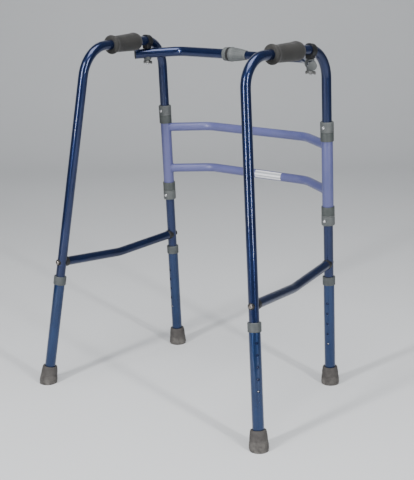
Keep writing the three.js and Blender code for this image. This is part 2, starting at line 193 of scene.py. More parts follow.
def mixed(wire, factor, first, second):
    """A colour between two colours."""
    return wire.node("ShaderNodeMix", {"data_type": "RGBA"}, {0: factor, 6: first, 7: second}, output=2)


def plug(wire, shader, colour, roughness, height, depth):
    """Connects a finish: its colour, its roughness, and a bump of the given depth in metres."""
    links = wire.tree.links
    links.new(colour.socket, shader.inputs["Base Color"])
    links.new(roughness.socket, shader.inputs["Roughness"])
    bump = wire.node("ShaderNodeBump", {}, {"Height": height, "Strength": 1.0, "Distance": depth})
    links.new(bump.socket, shader.inputs["Normal"])


# %% [markdown]
# ## Anodised tube
# The tubes are drawn through a die and dyed in an anodising bath. So they show faint lines along their
# length, a clear hard skin over a deep colour, and hairline scratches where hands and hooks rub them.
# A drawn attribute runs along each tube, because lines in object space would cut across a sloping leg.


# %% Anodised aluminium
def anodised(name, deep, pale, gloss):
    material, shader, wire = new_finish(name, Metallic=0.7, Coat_Weight=0.6, Coat_Roughness=0.05)
    lines = noise(wire, drawn_place(wire, 9, 5), 4.0)
    cloud = noise(wire, object_place(wire), 14.0)
    hairline = noise(wire, drawn_place(wire, 26, 3), 5.0, 2.0).clipped(0.70, 0.74)
    rubbed = hairline * cloud.clipped(0.48, 0.62)
    speck = noise(wire, object_place(wire), 900.0, 1.0).clipped(0.74, 0.78)
    colour = mixed(wire, (lines * 0.7 + cloud * 0.6).clipped(0.35, 0.95), deep, pale)
    colour = mixed(wire, rubbed * 0.30, colour, (0.20, 0.27, 0.38, 1))
    colour = mixed(wire, speck * 0.16, colour, (0.36, 0.38, 0.40, 1))
    rough = lines * 0.10 + cloud * 0.10 + rubbed * 0.22 + (gloss - 0.10)
    plug(wire, shader, colour, rough, lines * 0.4 + rubbed * -0.6 + speck, 0.00003)
    return material


NAVY = anodised("navy_anodised", (0.0025, 0.009, 0.046, 1), (0.007, 0.022, 0.092, 1), 0.24)
STEEL_BLUE = anodised("steel_blue_anodised", (0.004, 0.017, 0.066, 1), (0.011, 0.038, 0.120, 1), 0.28)
DARK_NAVY = anodised("dark_navy_anodised", (0.0020, 0.0075, 0.038, 1), (0.005, 0.018, 0.074, 1), 0.30)
print("made:", NAVY.name, STEEL_BLUE.name, DARK_NAVY.name)

# %% [markdown]
# ## Powder coat
# The H frame is welded, so it is coated after welding: a soft lavender skin with the orange-peel ripple
# that melted powder leaves, some fading, and small chips that show grey primer.


# %% Lavender powder coat
def powder_coat(name):
    material, shader, wire = new_finish(name, Metallic=0.0, Coat_Weight=0.18, Coat_Roughness=0.22)
    place = object_place(wire)
    peel = noise(wire, place, 420.0, 2.0)
    fade = noise(wire, place, 9.0)
    chip = noise(wire, place, 260.0, 3.0, 0.7).clipped(0.735, 0.75)
    grime = noise(wire, place, 45.0, 5.0, 0.65).clipped(0.52, 0.80)
    colour = mixed(wire, fade.clipped(0.3, 0.7), (0.064, 0.073, 0.192, 1), (0.088, 0.092, 0.228, 1))
    colour = mixed(wire, grime * 0.22, colour, (0.12, 0.12, 0.20, 1))
    colour = mixed(wire, chip * 0.7, colour, (0.34, 0.33, 0.33, 1))
    rough = 0.36 + fade * 0.08 + grime * 0.12 + chip * 0.2
    plug(wire, shader, colour, rough, peel * 0.6 - chip, 0.00010)
    return material


LAVENDER = powder_coat("lavender_coat")
print("made:", LAVENDER.name)

# %% [markdown]
# ## Moulded plastic and rubber
# Nylon rings take the grain of their mould and whiten a little where they are scuffed. Rubber feet go
# dusty from the floor up. The grips are soft vinyl with a leather grain, its creases darkened by painted
# shade, and hands polish them glossier on top, where a painted highlight also lightens the colour.


# %% Moulded nylon
def nylon(name, dark, light, gloss):
    material, shader, wire = new_finish(name, Specular_IOR_Level=0.45)
    place = object_place(wire)
    grain = noise(wire, place, 1500.0, 2.0)
    flow = noise(wire, place, 60.0, 4.0, 0.6)
    scuff = noise(wire, place, 210.0, 4.0, 0.75).clipped(0.60, 0.74)
    colour = mixed(wire, flow.clipped(0.3, 0.7), dark, light)
    colour = mixed(wire, scuff * 0.35, colour, [min(1, 1.7 * c) for c in light[:3]] + [1])
    rough = grain * 0.14 + scuff * 0.12 + (gloss - 0.08)
    plug(wire, shader, colour, rough, grain + flow * 0.5 - scuff * 0.5, 0.00008)
    return material


# %% Foot rubber, dusty towards the floor
def foot_rubber(name):
    material, shader, wire = new_finish(name, Specular_IOR_Level=0.35)
    place = object_place(wire)
    height = wire.node("ShaderNodeSeparateXYZ", {}, {0: place}, output="Z")
    grain = noise(wire, place, 1100.0, 3.0)
    cloud = noise(wire, place, 75.0, 5.0, 0.65)
    dust = (1 - height.clipped(0.0, 0.034)) * cloud.clipped(0.36, 0.66)
    scrape = noise(wire, place, 320.0, 4.0, 0.8).clipped(0.62, 0.70)
    colour = mixed(wire, cloud.clipped(0.3, 0.7), (0.040, 0.036, 0.034, 1), (0.066, 0.061, 0.058, 1))
    colour = mixed(wire, dust * 0.65, colour, (0.18, 0.17, 0.155, 1))
    colour = mixed(wire, scrape * 0.35, colour, (0.05, 0.045, 0.04, 1))
    rough = 0.62 + dust * 0.22 + grain * 0.08
    plug(wire, shader, colour, rough, grain * 0.7 + cloud - scrape * 0.8, 0.00016)
    return material


# %% Grip vinyl with a leather grain
def grip_vinyl(name):
    material, shader, wire = new_finish(name, Specular_IOR_Level=0.4, Sheen_Weight=0.12, Sheen_Roughness=0.4)
    place = object_place(wire)
    height = wire.node("ShaderNodeSeparateXYZ", {}, {0: place}, output="Z")
    settings = {"feature": "DISTANCE_TO_EDGE"}
    pebble = wire.node("ShaderNodeTexVoronoi", settings, {"Vector": place, "Scale": 620.0})
    crease = 1 - pebble.clipped(0.0, 0.09)
    cloud = noise(wire, place, 48.0, 4.0, 0.6)
    top = height.clipped(handle_height + 0.004, handle_height + 0.020)
    # Real polish makes the top glossier in the roughness. Lightening the colour there is a painted highlight on
    # the top of the grip.
    polish_and_highlight = top * cloud.clipped(0.35, 0.65)
    colour = mixed(wire, cloud.clipped(0.3, 0.7), (0.013, 0.0125, 0.0115, 1), (0.023, 0.022, 0.020, 1))
    # Painted shade: the colour is darkened in the creases of the grain, where shade would fall.
    colour = mixed(wire, crease * 0.45, colour, (0.006, 0.006, 0.0055, 1))
    colour = mixed(wire, polish_and_highlight * 0.25, colour, (0.038, 0.036, 0.033, 1))
    rough = 0.60 - polish_and_highlight * 0.16 + crease * 0.12
    plug(wire, shader, colour, rough, cloud * 0.6 - crease, 0.00022)
    return material


# %% Zinc-plated steel
def plated_steel(name, dark, light, rust):
    material, shader, wire = new_finish(name, Metallic=1.0)
    place = object_place(wire)
    brushed = noise(wire, place, 1700.0, 2.0)
    cloud = noise(wire, place, 130.0, 4.0, 0.6)
    tarnish = noise(wire, place, 420.0, 5.0, 0.7).clipped(0.58, 0.74)
    colour = mixed(wire, cloud.clipped(0.3, 0.7), dark, light)
    colour = mixed(wire, tarnish * rust, colour, (0.30, 0.24, 0.17, 1))
    rough = 0.20 + brushed * 0.12 + tarnish * 0.25
    plug(wire, shader, colour, rough, brushed + tarnish * -0.5, 0.00003)
    return material


# %% A plain printed label
def label_film(name):
    """White film with two soft grey bars, so that it says nothing."""
    material, shader, wire = new_finish(name, Specular_IOR_Level=0.5)
    place = object_place(wire)
    along = wire.node("ShaderNodeAttribute", {"attribute_name": "drawn"}, output="Vector")
    across = wire.node("ShaderNodeSeparateXYZ", {}, {0: along}, output="Y")
    upper = across.clipped(0.56, 0.58) * (1 - across.clipped(0.80, 0.82))
    lower = across.clipped(0.22, 0.24) * (1 - across.clipped(0.36, 0.38))
    stain = noise(wire, place, 160.0, 4.0, 0.6).clipped(0.45, 0.75)
    colour = mixed(wire, (upper + lower) * 0.75, (0.72, 0.72, 0.74, 1), (0.22, 0.24, 0.27, 1))
    colour = mixed(wire, stain * 0.3, colour, (0.42, 0.40, 0.37, 1))
    plug(wire, shader, colour, 0.38 + stain * 0.2, noise(wire, place, 700.0), 0.00004)
    return material


FINISHES = {
    "blue_tube": NAVY,
    "steel_blue_tube": STEEL_BLUE,
    "lavender_coat": LAVENDER,
    "grey_plastic": nylon("grey_nylon", (0.064, 0.071, 0.072, 1), (0.094, 0.101, 0.101, 1), 0.50),
    "dark_plastic": nylon("dark_nylon", (0.036, 0.043, 0.043, 1), (0.054, 0.062, 0.060, 1), 0.50),
    "black_plastic": nylon("black_nylon", (0.004, 0.0042, 0.0052, 1), (0.009, 0.009, 0.0105, 1), 0.50),
    "grip_rubber": grip_vinyl("grip_vinyl"),
    "foot_rubber": foot_rubber("foot_rubber"),
    "bright_steel": plated_steel("plated_steel", (0.60, 0.60, 0.60, 1), (0.80, 0.80, 0.82, 1), 0.55),
}
RUSTY = plated_steel("rusty_steel", (0.16, 0.13, 0.11, 1), (0.34, 0.31, 0.29, 1), 0.70)
DULL = plated_steel("dull_steel", (0.13, 0.13, 0.13, 1), (0.27, 0.27, 0.26, 1), 0.35)
WORN = nylon("worn_nylon", (0.044, 0.051, 0.053, 1), (0.070, 0.078, 0.080, 1), 0.52)
LABEL = label_film("label_film")
print("finishes:", ", ".join(sorted(FINISHES)))

# %% [markdown]
# ## Turned pieces
# Rings, bushes, collars, feet and nuts are all bodies of revolution, so one helper turns an outline
# round an axis. A third number on a corner rounds it off, because no moulded edge is truly sharp and
# the small radius is what catches the light.


# %% Turning an outline
SOFT_ANGLE = 38
MERGE_DISTANCE = 0.000002
ARC_STEPS = 4


def rounded(outline, closed):
    """Replaces each corner that has a radius by a short arc of points."""
    points = []
    count = len(outline)
    for i, corner in enumerate(outline):
        here = Vector(corner[:2])
        is_end = not closed and i in (0, count - 1)
        if len(corner) < 3 or is_end:
            points.append(here)
            continue
        back = (Vector(outline[i - 1][:2]) - here).normalized()
        ahead = (Vector(outline[(i + 1) % count][:2]) - here).normalized()
        half = back.angle(ahead) / 2
        trim = corner[2] / math.tan(half)
        centre = here + (back + ahead).normalized() * (corner[2] / math.sin(half))
        first = here + back * trim - centre
        last = here + ahead * trim - centre
        for k in range(ARC_STEPS + 1):
            arm = first.lerp(last, k / ARC_STEPS)
            points.append(centre + arm.normalized() * corner[2])
    return points


def shown(name, data):
    """An object in the scene that holds the data."""
    made = bpy.data.objects.new(name, data)
    bpy.context.scene.collection.objects.link(made)
    return made


def smooth(piece):
    """Shades a piece smooth, except where its faces meet at more than a soft angle."""
    piece.data.shade_smooth()
    piece.data.set_sharp_from_angle(angle=math.radians(SOFT_ANGLE))
    return piece


def finish_mesh(mesh, name, place):
    """Turns a bmesh in millimetres into an object in the frame, smooth except at real edges."""
    mesh.transform(place @ Matrix.Scale(mm, 4))
    bmesh.ops.remove_doubles(mesh, verts=mesh.verts, dist=MERGE_DISTANCE)
    bmesh.ops.recalc_face_normals(mesh, faces=mesh.faces)
    data = bpy.data.meshes.new(name)
    mesh.to_mesh(data)
    mesh.free()
    return smooth(shown(name, data))


def turned_mesh(outline, closed=False, sides=64):
    """A bmesh of the outline, [radius, height, corner radius] in millimetres, turned round +Z."""
    mesh = bmesh.new()
    drawn = mesh.verts.layers.float_vector.new("drawn")
    rings = []
    for radius, height in rounded(outline, closed):
        ring = []
        for k in range(1 if radius < 1e-6 else sides):
            turn = 2 * math.pi * k / sides
            vertex = mesh.verts.new((radius * math.cos(turn), radius * math.sin(turn), height))
            vertex[drawn] = (math.cos(turn), math.sin(turn), height * mm)
            ring.append(vertex)
        rings.append(ring)
    pairs = list(zip(rings, rings[1:]))
    if closed:
        pairs.append((rings[-1], rings[0]))
    for low, high in pairs:
        for k in range(sides):
            n = (k + 1) % sides
            corners = [low[k % len(low)], low[n % len(low)], high[n % len(high)], high[k % len(high)]]
            corners = list(dict.fromkeys(corners))
            if len(corners) > 2:
                mesh.faces.new(corners)
    return mesh


def turned(name, outline, place, closed=False, sides=64):
    return finish_mesh(turned_mesh(outline, closed, sides), name, place)


def trim(piece, body, slot, finish=None):
    """Gives a piece its finish, the slot's own unless one is given, and ties it to a body."""
    if not piece.data.materials:
        piece.data.materials.append(finish or FINISHES[slot])
    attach(piece, body)
    return piece


def dress(piece, *nodes, finish=None):
    """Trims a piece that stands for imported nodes, and hides those nodes."""
    trim(piece, body_of[nodes[0]], slot_of[nodes[0]], finish)
    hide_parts(*nodes)
    return piece


# %% [markdown]
# ## Bent tubes by Geometry Nodes
# A bent tube follows a rule: straight runs, one bend radius, one section. So a node tree makes it. The
# route is a chain of edges, Fillet Curve rounds its corners as a bending machine does, and Curve to Mesh
# sweeps the section. The tree also stores the drawn attribute that the anodised finish reads.


# %% Helpers for node trees
def new_tree(name, inputs):
    """A node tree with named inputs, and its first node."""
    tree = bpy.data.node_groups.new(name, "GeometryNodeTree")
    tree.interface.new_socket("Geometry", in_out="INPUT", socket_type="NodeSocketGeometry")
    for label, kind in inputs.items():
        tree.interface.new_socket(label, in_out="INPUT", socket_type=kind)
    tree.interface.new_socket("Geometry", in_out="OUTPUT", socket_type="NodeSocketGeometry")
    return tree, tree.nodes.new("NodeGroupInput")


def add(tree, kind, settings=None, *ordered, **named):
    """Adds a node. Inputs come in order or by name, as sockets to link or values. A space is written _."""
    node = tree.nodes.new(kind)
    for name, value in (settings or {}).items():
        setattr(node, name, value)
    targets = list(zip(node.inputs, ordered))
    for label, value in named.items():
        label = label.replace("_", " ")
        targets.append((next(s for s in node.inputs if s.name == label and s.enabled), value))
    for target, value in targets:
        if isinstance(value, bpy.types.NodeSocket):
            tree.links.new(value, target)
        else:
            target.default_value = value
    return node


def close_tree(tree, geometry, material):
    """Every tree ends by making instances real and setting the material."""
    real = add(tree, "GeometryNodeRealizeInstances", Geometry=geometry)
    dressed = add(tree, "GeometryNodeSetMaterial", Geometry=real.outputs[0], Material=material)
    add(tree, "NodeGroupOutput", {}, dressed.outputs[0])


def grow(name, base, tree, values):
    """Runs a tree on a base mesh and returns the result as a plain mesh object."""
    holder = shown(name, base)
    modifier = holder.modifiers.new("grow", "NODES")
    modifier.node_group = tree
    for item in tree.interface.items_tree:
        if item.in_out == "INPUT" and item.name in values:
            modifier[item.identifier] = values[item.name]
    bpy.context.view_layer.update()
    evaluated = holder.evaluated_get(bpy.context.evaluated_depsgraph_get())
    data = bpy.data.meshes.new_from_object(evaluated)
    bpy.data.objects.remove(holder)
    return smooth(shown(name, data))


def chain(points, closed=False):
    """A mesh of edges through the points."""
    data = bpy.data.meshes.new("route")
    links = [(i, i + 1) for i in range(len(points) - 1)]
    if closed:
        links.append((len(points) - 1, 0))
    data.from_pydata([tuple(p) for p in points], links, [])
    return data


# %% The bent tube tree
BEND_POINTS = 14
TUBE_SIDES = 48


def bent_tube_tree():
    sizes = {"Radius": "NodeSocketFloat", "Bend": "NodeSocketFloat", "Finish": "NodeSocketMaterial"}
    tree, start = new_tree("bent tube", sizes)
    route = add(tree, "GeometryNodeMeshToCurve", Mesh=start.outputs["Geometry"])
    bends = add(tree, "GeometryNodeFilletCurve", {"mode": "POLY"}, Curve=route.outputs[0],
                Count=BEND_POINTS, Radius=start.outputs["Bend"])
    run = add(tree, "GeometryNodeSplineParameter")
    marked = add(tree, "GeometryNodeStoreNamedAttribute", Geometry=bends.outputs[0],
                 Name="run", Value=run.outputs["Length"])
    circle = add(tree, "GeometryNodeCurvePrimitiveCircle", Resolution=TUBE_SIDES,
                 Radius=start.outputs["Radius"])
    section_place = add(tree, "GeometryNodeInputPosition")
    unit = add(tree, "ShaderNodeVectorMath", {"operation": "NORMALIZE"}, Vector=section_place.outputs[0])
    section = add(tree, "GeometryNodeStoreNamedAttribute", {"data_type": "FLOAT_VECTOR"},
                  Geometry=circle.outputs[0], Name="round", Value=unit.outputs[0])
    sweep = add(tree, "GeometryNodeCurveToMesh", Curve=marked.outputs[0],
                Profile_Curve=section.outputs[0], Fill_Caps=True)
    run_back = add(tree, "GeometryNodeInputNamedAttribute", Name="run")
    round_back = add(tree, "GeometryNodeInputNamedAttribute", {"data_type": "FLOAT_VECTOR"}, Name="round")
    along = add(tree, "ShaderNodeCombineXYZ", Z=run_back.outputs[0])
    drawn = add(tree, "ShaderNodeVectorMath", {"operation": "ADD"}, round_back.outputs[0], along.outputs[0])
    stored = add(tree, "GeometryNodeStoreNamedAttribute", {"data_type": "FLOAT_VECTOR"},
                 Geometry=sweep.outputs[0], Name="drawn", Value=drawn.outputs[0])
    close_tree(tree, stored.outputs[0], start.outputs["Finish"])
    return tree


BENT_TUBE = bent_tube_tree()


def bent_tube(name, corners, radius, bend, finish):
    values = {"Radius": radius * mm, "Bend": bend * mm, "Finish": finish}
    return grow(name, chain(corners), BENT_TUBE, values)


# %% The two side tubes
BEND = 70
for hand in HANDS:
    node = f"{hand}_side_tube"
    places = [leg_place(hand, leg) for leg in LEGS]
    lowest = [reach(node, place.translation, up_of(place))[0] for place in places]
    ends = [place.translation + up_of(place) * low * mm for place, low in zip(places, lowest)]
    corners = [ends[0], leg_top(hand, "front"), leg_top(hand, "rear"), ends[1]]
    tube = bent_tube(f"{hand}_bent_tube", corners, TUBE, BEND, NAVY)
    dress(tube, node)
    print(node, "faces:", len(tube.data.polygons))

# %% [markdown]
# ## The front H frame
# Two sleeves turn on the front legs, and two bowed crossbars are welded between them. Each bar is coped
# to fit the sleeve, and a bead of weld hides the joint. The bead follows the line where two cylinders
# meet, which a formula gives, so a second tree sweeps a rippled bead along it.


# %% Cutting and joining
def carve(piece, *tools, operation="DIFFERENCE"):
    """Cuts the tools out of a piece, or joins them to it, and removes the tools."""
    for tool in tools:
        modifier = piece.modifiers.new("carve", "BOOLEAN")
        modifier.object = tool
        modifier.operation = operation
        modifier.solver = "EXACT"
    return applied(piece, *tools)


def applied(piece, *spent):
    bpy.context.view_layer.update()
    evaluated = piece.evaluated_get(bpy.context.evaluated_depsgraph_get())
    data = bpy.data.meshes.new_from_object(evaluated)
    piece.modifiers.clear()
    piece.data = data
    for tool in spent:
        bpy.data.objects.remove(tool)
    return smooth(piece)


def rod(place, radius, low, high, sides=64):
    """A plain round tool, in millimetres along a place's +Z."""
    return turned("tool", [(0, low), (radius, low), (radius, high), (0, high)], place, sides=sides)


def bevelled(piece, width, segments=3, angle=30):
    modifier = piece.modifiers.new("edge", "BEVEL")
    modifier.width = width * mm
    modifier.segments = segments
    modifier.limit_method = "ANGLE"
    modifier.angle_limit = math.radians(angle)
    return applied(piece)


# %% Sleeves and crossbars
SLEEVE = 13.0
SLEEVE_BORE = 11.8
CROSSBAR = 10.5
CROSSBAR_BEND = 60
CROSSBAR_BEND_X = 142
COPE_DEPTH = 0.6
COPE_REACH = 30
front_middle = (soles["left_front_foot_sole"] + soles["right_front_foot_sole"]) / 2
half_width = soles["right_front_foot_sole"].x / mm


def leaning(x, forward, height):
    """A point in the plane of the front legs, in millimetres, from between the front feet."""
    return front_middle + (SIDEWAYS * x + FORWARD * forward + UP * height) * mm


for hand in HANDS:
    place = leg_place(hand, "front")
    low, high = reach(f"{hand}_sleeve", place.translation, UP)
    wall = [(SLEEVE_BORE, low), (SLEEVE, low, 0.5), (SLEEVE, high, 0.5), (SLEEVE_BORE, high)]
    dress(turned(f"{hand}_coated_sleeve", wall, place, closed=True), f"{hand}_sleeve")

crossbar_middles = {}
for level in LEVELS:
    node = f"{level}_crossbar"
    height = sum(reach(node, front_middle, UP)) / 2
    bow = reach(node, front_middle, FORWARD)[1] - CROSSBAR
    crossbar_middles[level] = (bow, height)
    corners = [leaning(x, forward, height) for x, forward in (
        (-half_width, 0), (-CROSSBAR_BEND_X, bow), (CROSSBAR_BEND_X, bow), (half_width, 0))]
    bar = bent_tube(f"{level}_coated_crossbar", corners, CROSSBAR, CROSSBAR_BEND, LAVENDER)
    span = (height - COPE_REACH, height + COPE_REACH)
    copes = [rod(leg_place(hand, "front"), SLEEVE - COPE_DEPTH, *span) for hand in HANDS]
    dress(carve(bar, *copes), node)
print("crossbar bow and height, mm:", {k: [round(v) for v in m] for k, m in crossbar_middles.items()})


# %% Weld beads
WELD_RADIUS = 1.5
WELD_RIPPLES = 26
RIPPLE = 0.12


def weld_tree():
    sizes = {"Radius": "NodeSocketFloat", "Ripples": "NodeSocketFloat", "Finish": "NodeSocketMaterial"}
    tree, start = new_tree("weld bead", sizes)
    route = add(tree, "GeometryNodeMeshToCurve", Mesh=start.outputs["Geometry"])
    run = add(tree, "GeometryNodeSplineParameter")
    turns = add(tree, "ShaderNodeMath", {"operation": "MULTIPLY"},
                run.outputs["Factor"], start.outputs["Ripples"])
    wave = add(tree, "ShaderNodeMath", {"operation": "SINE"}, turns.outputs[0])
    size = add(tree, "ShaderNodeMath", {"operation": "MULTIPLY_ADD"}, wave.outputs[0], RIPPLE, 1.0)
    section = add(tree, "GeometryNodeCurvePrimitiveCircle", Resolution=12, Radius=start.outputs["Radius"])
    bead = add(tree, "GeometryNodeCurveToMesh", Curve=route.outputs[0],
               Profile_Curve=section.outputs[0], Scale=size.outputs[0])
    close_tree(tree, bead.outputs[0], start.outputs["Finish"])
    return tree


def meeting_line(hand, bow, height, points=96):
    """The closed line where a crossbar meets a sleeve."""
    side = HANDS[hand]
    out = (SIDEWAYS * side * (half_width - CROSSBAR_BEND_X) - FORWARD * bow).normalized()
    across = UP.cross(out)
    line = []
    for k in range(points):
        turn = 2 * math.pi * k / points
        sideways_part = CROSSBAR * math.cos(turn)
        inward = math.sqrt(SLEEVE ** 2 - sideways_part ** 2)
        offset = across * sideways_part + UP * CROSSBAR * math.sin(turn) - out * inward
        line.append(leaning(side * half_width, 0, height) + offset * mm)
    return line


WELD = weld_tree()
for hand in HANDS:
    for level, (bow, height) in crossbar_middles.items():
        values = {"Radius": WELD_RADIUS * mm, "Ripples": WELD_RIPPLES * 2 * math.pi, "Finish": LAVENDER}
        bead = grow(f"{hand}_{level}_weld", chain(meeting_line(hand, bow, height), True), WELD, values)
        trim(bead, "front_frame", "lavender_coat")
print("weld beads: 4")

# %% [markdown]
# ## Bushes and retaining rings
# Above and below each sleeve a darker bush carries the swivel, and a paler ring, held by one screw,
# keeps it there. They are turned rings with soft edges, plus a small boss under the screw head.

# %% Bushes, rings and screw bosses
BORE = 11.4
BUSH = 15.2
BUSH_BORE = 11.7
CUP = 13.4
CUP_DEPTH = 10.3
RING = 15.5
GROOVE = RING - 0.5
BOSS_TOP = 15.8
for hand in HANDS:
    place = leg_place(hand, "front")
    for level, way in (("upper", 1), ("lower", -1)):
        cup, back = reach(f"{hand}_{level}_bush", place.translation, UP)[::way]
        floor = cup + way * CUP_DEPTH
        bush = [
            (BUSH_BORE, floor), (CUP, floor), (CUP, cup),
            (BUSH, cup, 0.5), (BUSH, back, 0.7), (BUSH_BORE, back),
        ]
        dress(turned(f"{hand}_{level}_swivel_bush", bush, place, True), f"{hand}_{level}_bush")
        near, far = reach(f"{hand}_{level}_ring", place.translation, UP)[::way]
        ring = [
            (BORE, near), (RING, near, 0.4), (RING, near + way * 3, 0.3), (GROOVE, near + way * 3.6, 0.3),
            (GROOVE, near + way * 4.6, 0.3), (RING, near + way * 5.2, 0.3),
            (RING, far - way * 1.6, 0.8), (RING - 1.4, far, 0.6), (BORE, far),
        ]
        dress(turned(f"{hand}_{level}_keeper_ring", ring, place, True), f"{hand}_{level}_ring")
        middle = place.translation + UP * (near + far) / 2 * mm
        boss = [(0, SLEEVE), (5.6, SLEEVE), (5.2, BOSS_TOP, 0.3), (0, BOSS_TOP)]
        boss_piece = turned(f"{hand}_{level}_screw_boss", boss, standing(middle, -FORWARD))
        trim(boss_piece, f"{hand}_side", "grey_plastic")
print("rings and bushes: 8")

# %% [markdown]
# ## Lower legs
# Each lower leg is a wider tube with a row of punched holes, one of which holds the snap button. A row of
# equal holes is a rule, so a node tree punches them: one cutter, instanced on a line, then a boolean.


# %% The punching tree
PUNCH_LENGTH = 12
PUNCH_MIDDLE = 12.5


def punch_tree():
    floats = ("Hole Radius", "Pitch", "First", "Turn")
    sizes = {label: "NodeSocketFloat" for label in floats}
    sizes.update({"Count": "NodeSocketInt", "Finish": "NodeSocketMaterial"})
    tree, start = new_tree("punched holes", sizes)
    first = add(tree, "ShaderNodeCombineXYZ", Z=start.outputs["First"])
    pitch = add(tree, "ShaderNodeCombineXYZ", Z=start.outputs["Pitch"])
    line = add(tree, "GeometryNodeMeshLine", Count=start.outputs["Count"],
               Start_Location=first.outputs[0], Offset=pitch.outputs[0])
    punch = add(tree, "GeometryNodeMeshCylinder", Vertices=32, Radius=start.outputs["Hole Radius"],
                Depth=PUNCH_LENGTH * mm)
    laid = add(tree, "GeometryNodeTransform", Geometry=punch.outputs[0],
               Translation=(PUNCH_MIDDLE * mm, 0, 0), Rotation=(0, math.pi / 2, 0))
    row = add(tree, "GeometryNodeInstanceOnPoints", Points=line.outputs[0], Instance=laid.outputs[0])
    turn = add(tree, "ShaderNodeCombineXYZ", Z=start.outputs["Turn"])
    turn_row = add(tree, "GeometryNodeTransform", Geometry=row.outputs[0], Rotation=turn.outputs[0])
    real = add(tree, "GeometryNodeRealizeInstances", Geometry=turn_row.outputs[0])
    cut = add(tree, "GeometryNodeMeshBoolean", {"operation": "DIFFERENCE", "solver": "EXACT"},
              start.outputs["Geometry"], real.outputs[0])
    close_tree(tree, cut.outputs[0], start.outputs["Finish"])
    return tree


# %% Lower legs and their buttons
LEG = 12.7
LEG_BORE = 11.5
HOLE = 3.45
HOLE_PITCH = 25.4
HOLE_COUNT = 5
BUTTON_TRAVEL = 3.9
LEAF_WIDTH = 5
LEAF_WALL = 0.9
LEAF_STEPS = 10
FINE_SIDES = 96
PUNCH = punch_tree()


def button_place(hand, leg):
    """Where the button's stud comes out: its height on the leg and its turn round it."""
    place = leg_place(hand, leg)
    out = Vector(joints[f"{hand}_{leg}_button_out"]["axis"])
    local = place.to_3x3().inverted() @ out
    tip = max(frame["nodes"][f"{hand}_{leg}_snap_button"].data.vertices, key=lambda v: v.co.dot(out))
    return (tip.co - place.translation).dot(up_of(place)), math.atan2(local.y, local.x)


def snap_button(name, hand, leg, height, turn):
    """A domed stud on a leaf that is bent back on itself inside the tube, held in by its travel."""
    place = leg_place(hand, leg) @ Matrix.Translation((0, 0, height)) @ Matrix.Rotation(turn, 4, "Z")
    place = place @ Matrix.Translation((-BUTTON_TRAVEL * mm, 0, 0))
    stud_place = place @ Matrix.Rotation(math.pi / 2, 4, "Y")
    stud = turned(name, [(0, 7.6), (3.2, 7.6), (3.2, 14.0, 1.2), (1.7, 14.9, 1.5), (0, 15.1)], stud_place)
    middle, low, bend = 2.2, -20, 5.5
    spine = [(middle + bend, 6.5), (middle + bend, low)]
    for k in range(1, LEAF_STEPS):
        turn_back = -math.pi * k / LEAF_STEPS
        spine.append((middle + bend * math.cos(turn_back), low + bend * math.sin(turn_back)))
    spine += [(middle - bend, low), (middle - bend, -2)]
    leaf = bmesh.new()
    edges = [[leaf.verts.new((x, y, z)) for y in (-LEAF_WIDTH / 2, LEAF_WIDTH / 2)] for x, z in spine]
    for (a, b), (c, d) in zip(edges, edges[1:]):
        leaf.faces.new((a, b, d, c))
    strip = finish_mesh(leaf, "leaf", place)
    wall = strip.modifiers.new("wall", "SOLIDIFY")
    wall.thickness = LEAF_WALL * mm
    wall.offset = 0
    applied(strip)
    return carve(stud, strip, operation="UNION")


for hand in HANDS:
    for leg in LEGS:
        place = leg_place(hand, leg)
        node = f"{hand}_{leg}_lower_leg"
        low, high = reach(node, place.translation, up_of(place))
        height, turn = button_place(hand, leg)
        wall = [(LEG_BORE, low), (LEG, low, 0.3), (LEG, high, 0.3), (LEG_BORE, high)]
        blank = turned("blank", wall, Matrix.Identity(4), closed=True, sides=FINE_SIDES)
        values = {"Hole Radius": HOLE * mm, "Pitch": HOLE_PITCH * mm, "First": height, "Turn": turn,
                  "Count": HOLE_COUNT, "Finish": STEEL_BLUE}
        tube = grow(f"{hand}_{leg}_punched_leg", blank.data, PUNCH, values)
        bpy.data.objects.remove(blank)
        tube.data.transform(place)
        dress(tube, node)
        button = snap_button(f"{hand}_{leg}_button", hand, leg, height, turn)
        dress(button, f"{hand}_{leg}_snap_button")
print("punched legs: 4")

# %% [markdown]
# ## Collars and feet
# The collar caps the lower leg and centres the tube inside it. The foot is a rubber ferrule that flares
# to a wide sole. It is turned about its sloping leg, then cut level by the floor, as wear would cut it.


# %% Collars
COLLAR = 14.8
COLLAR_GROOVE = 14.4
COLLAR_CUP = 13
COLLAR_BORE = 11.5


def collar(hand, leg):
    place = leg_place(hand, leg)
    low, high = reach(f"{hand}_{leg}_collar", place.translation, up_of(place))
    lip = reach(f"{hand}_{leg}_lower_leg", place.translation, up_of(place))[1] + 0.3
    outline = [
        (COLLAR_CUP, low), (COLLAR, low, 0.5), (COLLAR, low + 4, 0.3), (COLLAR_GROOVE, low + 4.5, 0.3),
        (COLLAR_GROOVE, low + 5.5, 0.3), (COLLAR, low + 6, 0.3), (COLLAR, high - 1.2, 0.6),
        (13.6, high, 0.5), (COLLAR_BORE, high, 0.4), (COLLAR_BORE, lip), (COLLAR_CUP, lip),
    ]
    piece = turned(f"{hand}_{leg}_leg_collar", outline, place, True)
    return dress(piece, f"{hand}_{leg}_collar", finish=WORN)


# %% Feet
def slice_off(mesh, point, direction):
    """Cuts away what lies beyond a plane, and closes the cut."""
    everything = mesh.verts[:] + mesh.edges[:] + mesh.faces[:]
    cut = bmesh.ops.bisect_plane(mesh, geom=everything, plane_co=point, plane_no=direction, clear_outer=True)
    rim = [edge for edge in cut["geom_cut"] if isinstance(edge, bmesh.types.BMEdge)]
    bmesh.ops.edgenet_fill(mesh, edges=rim)


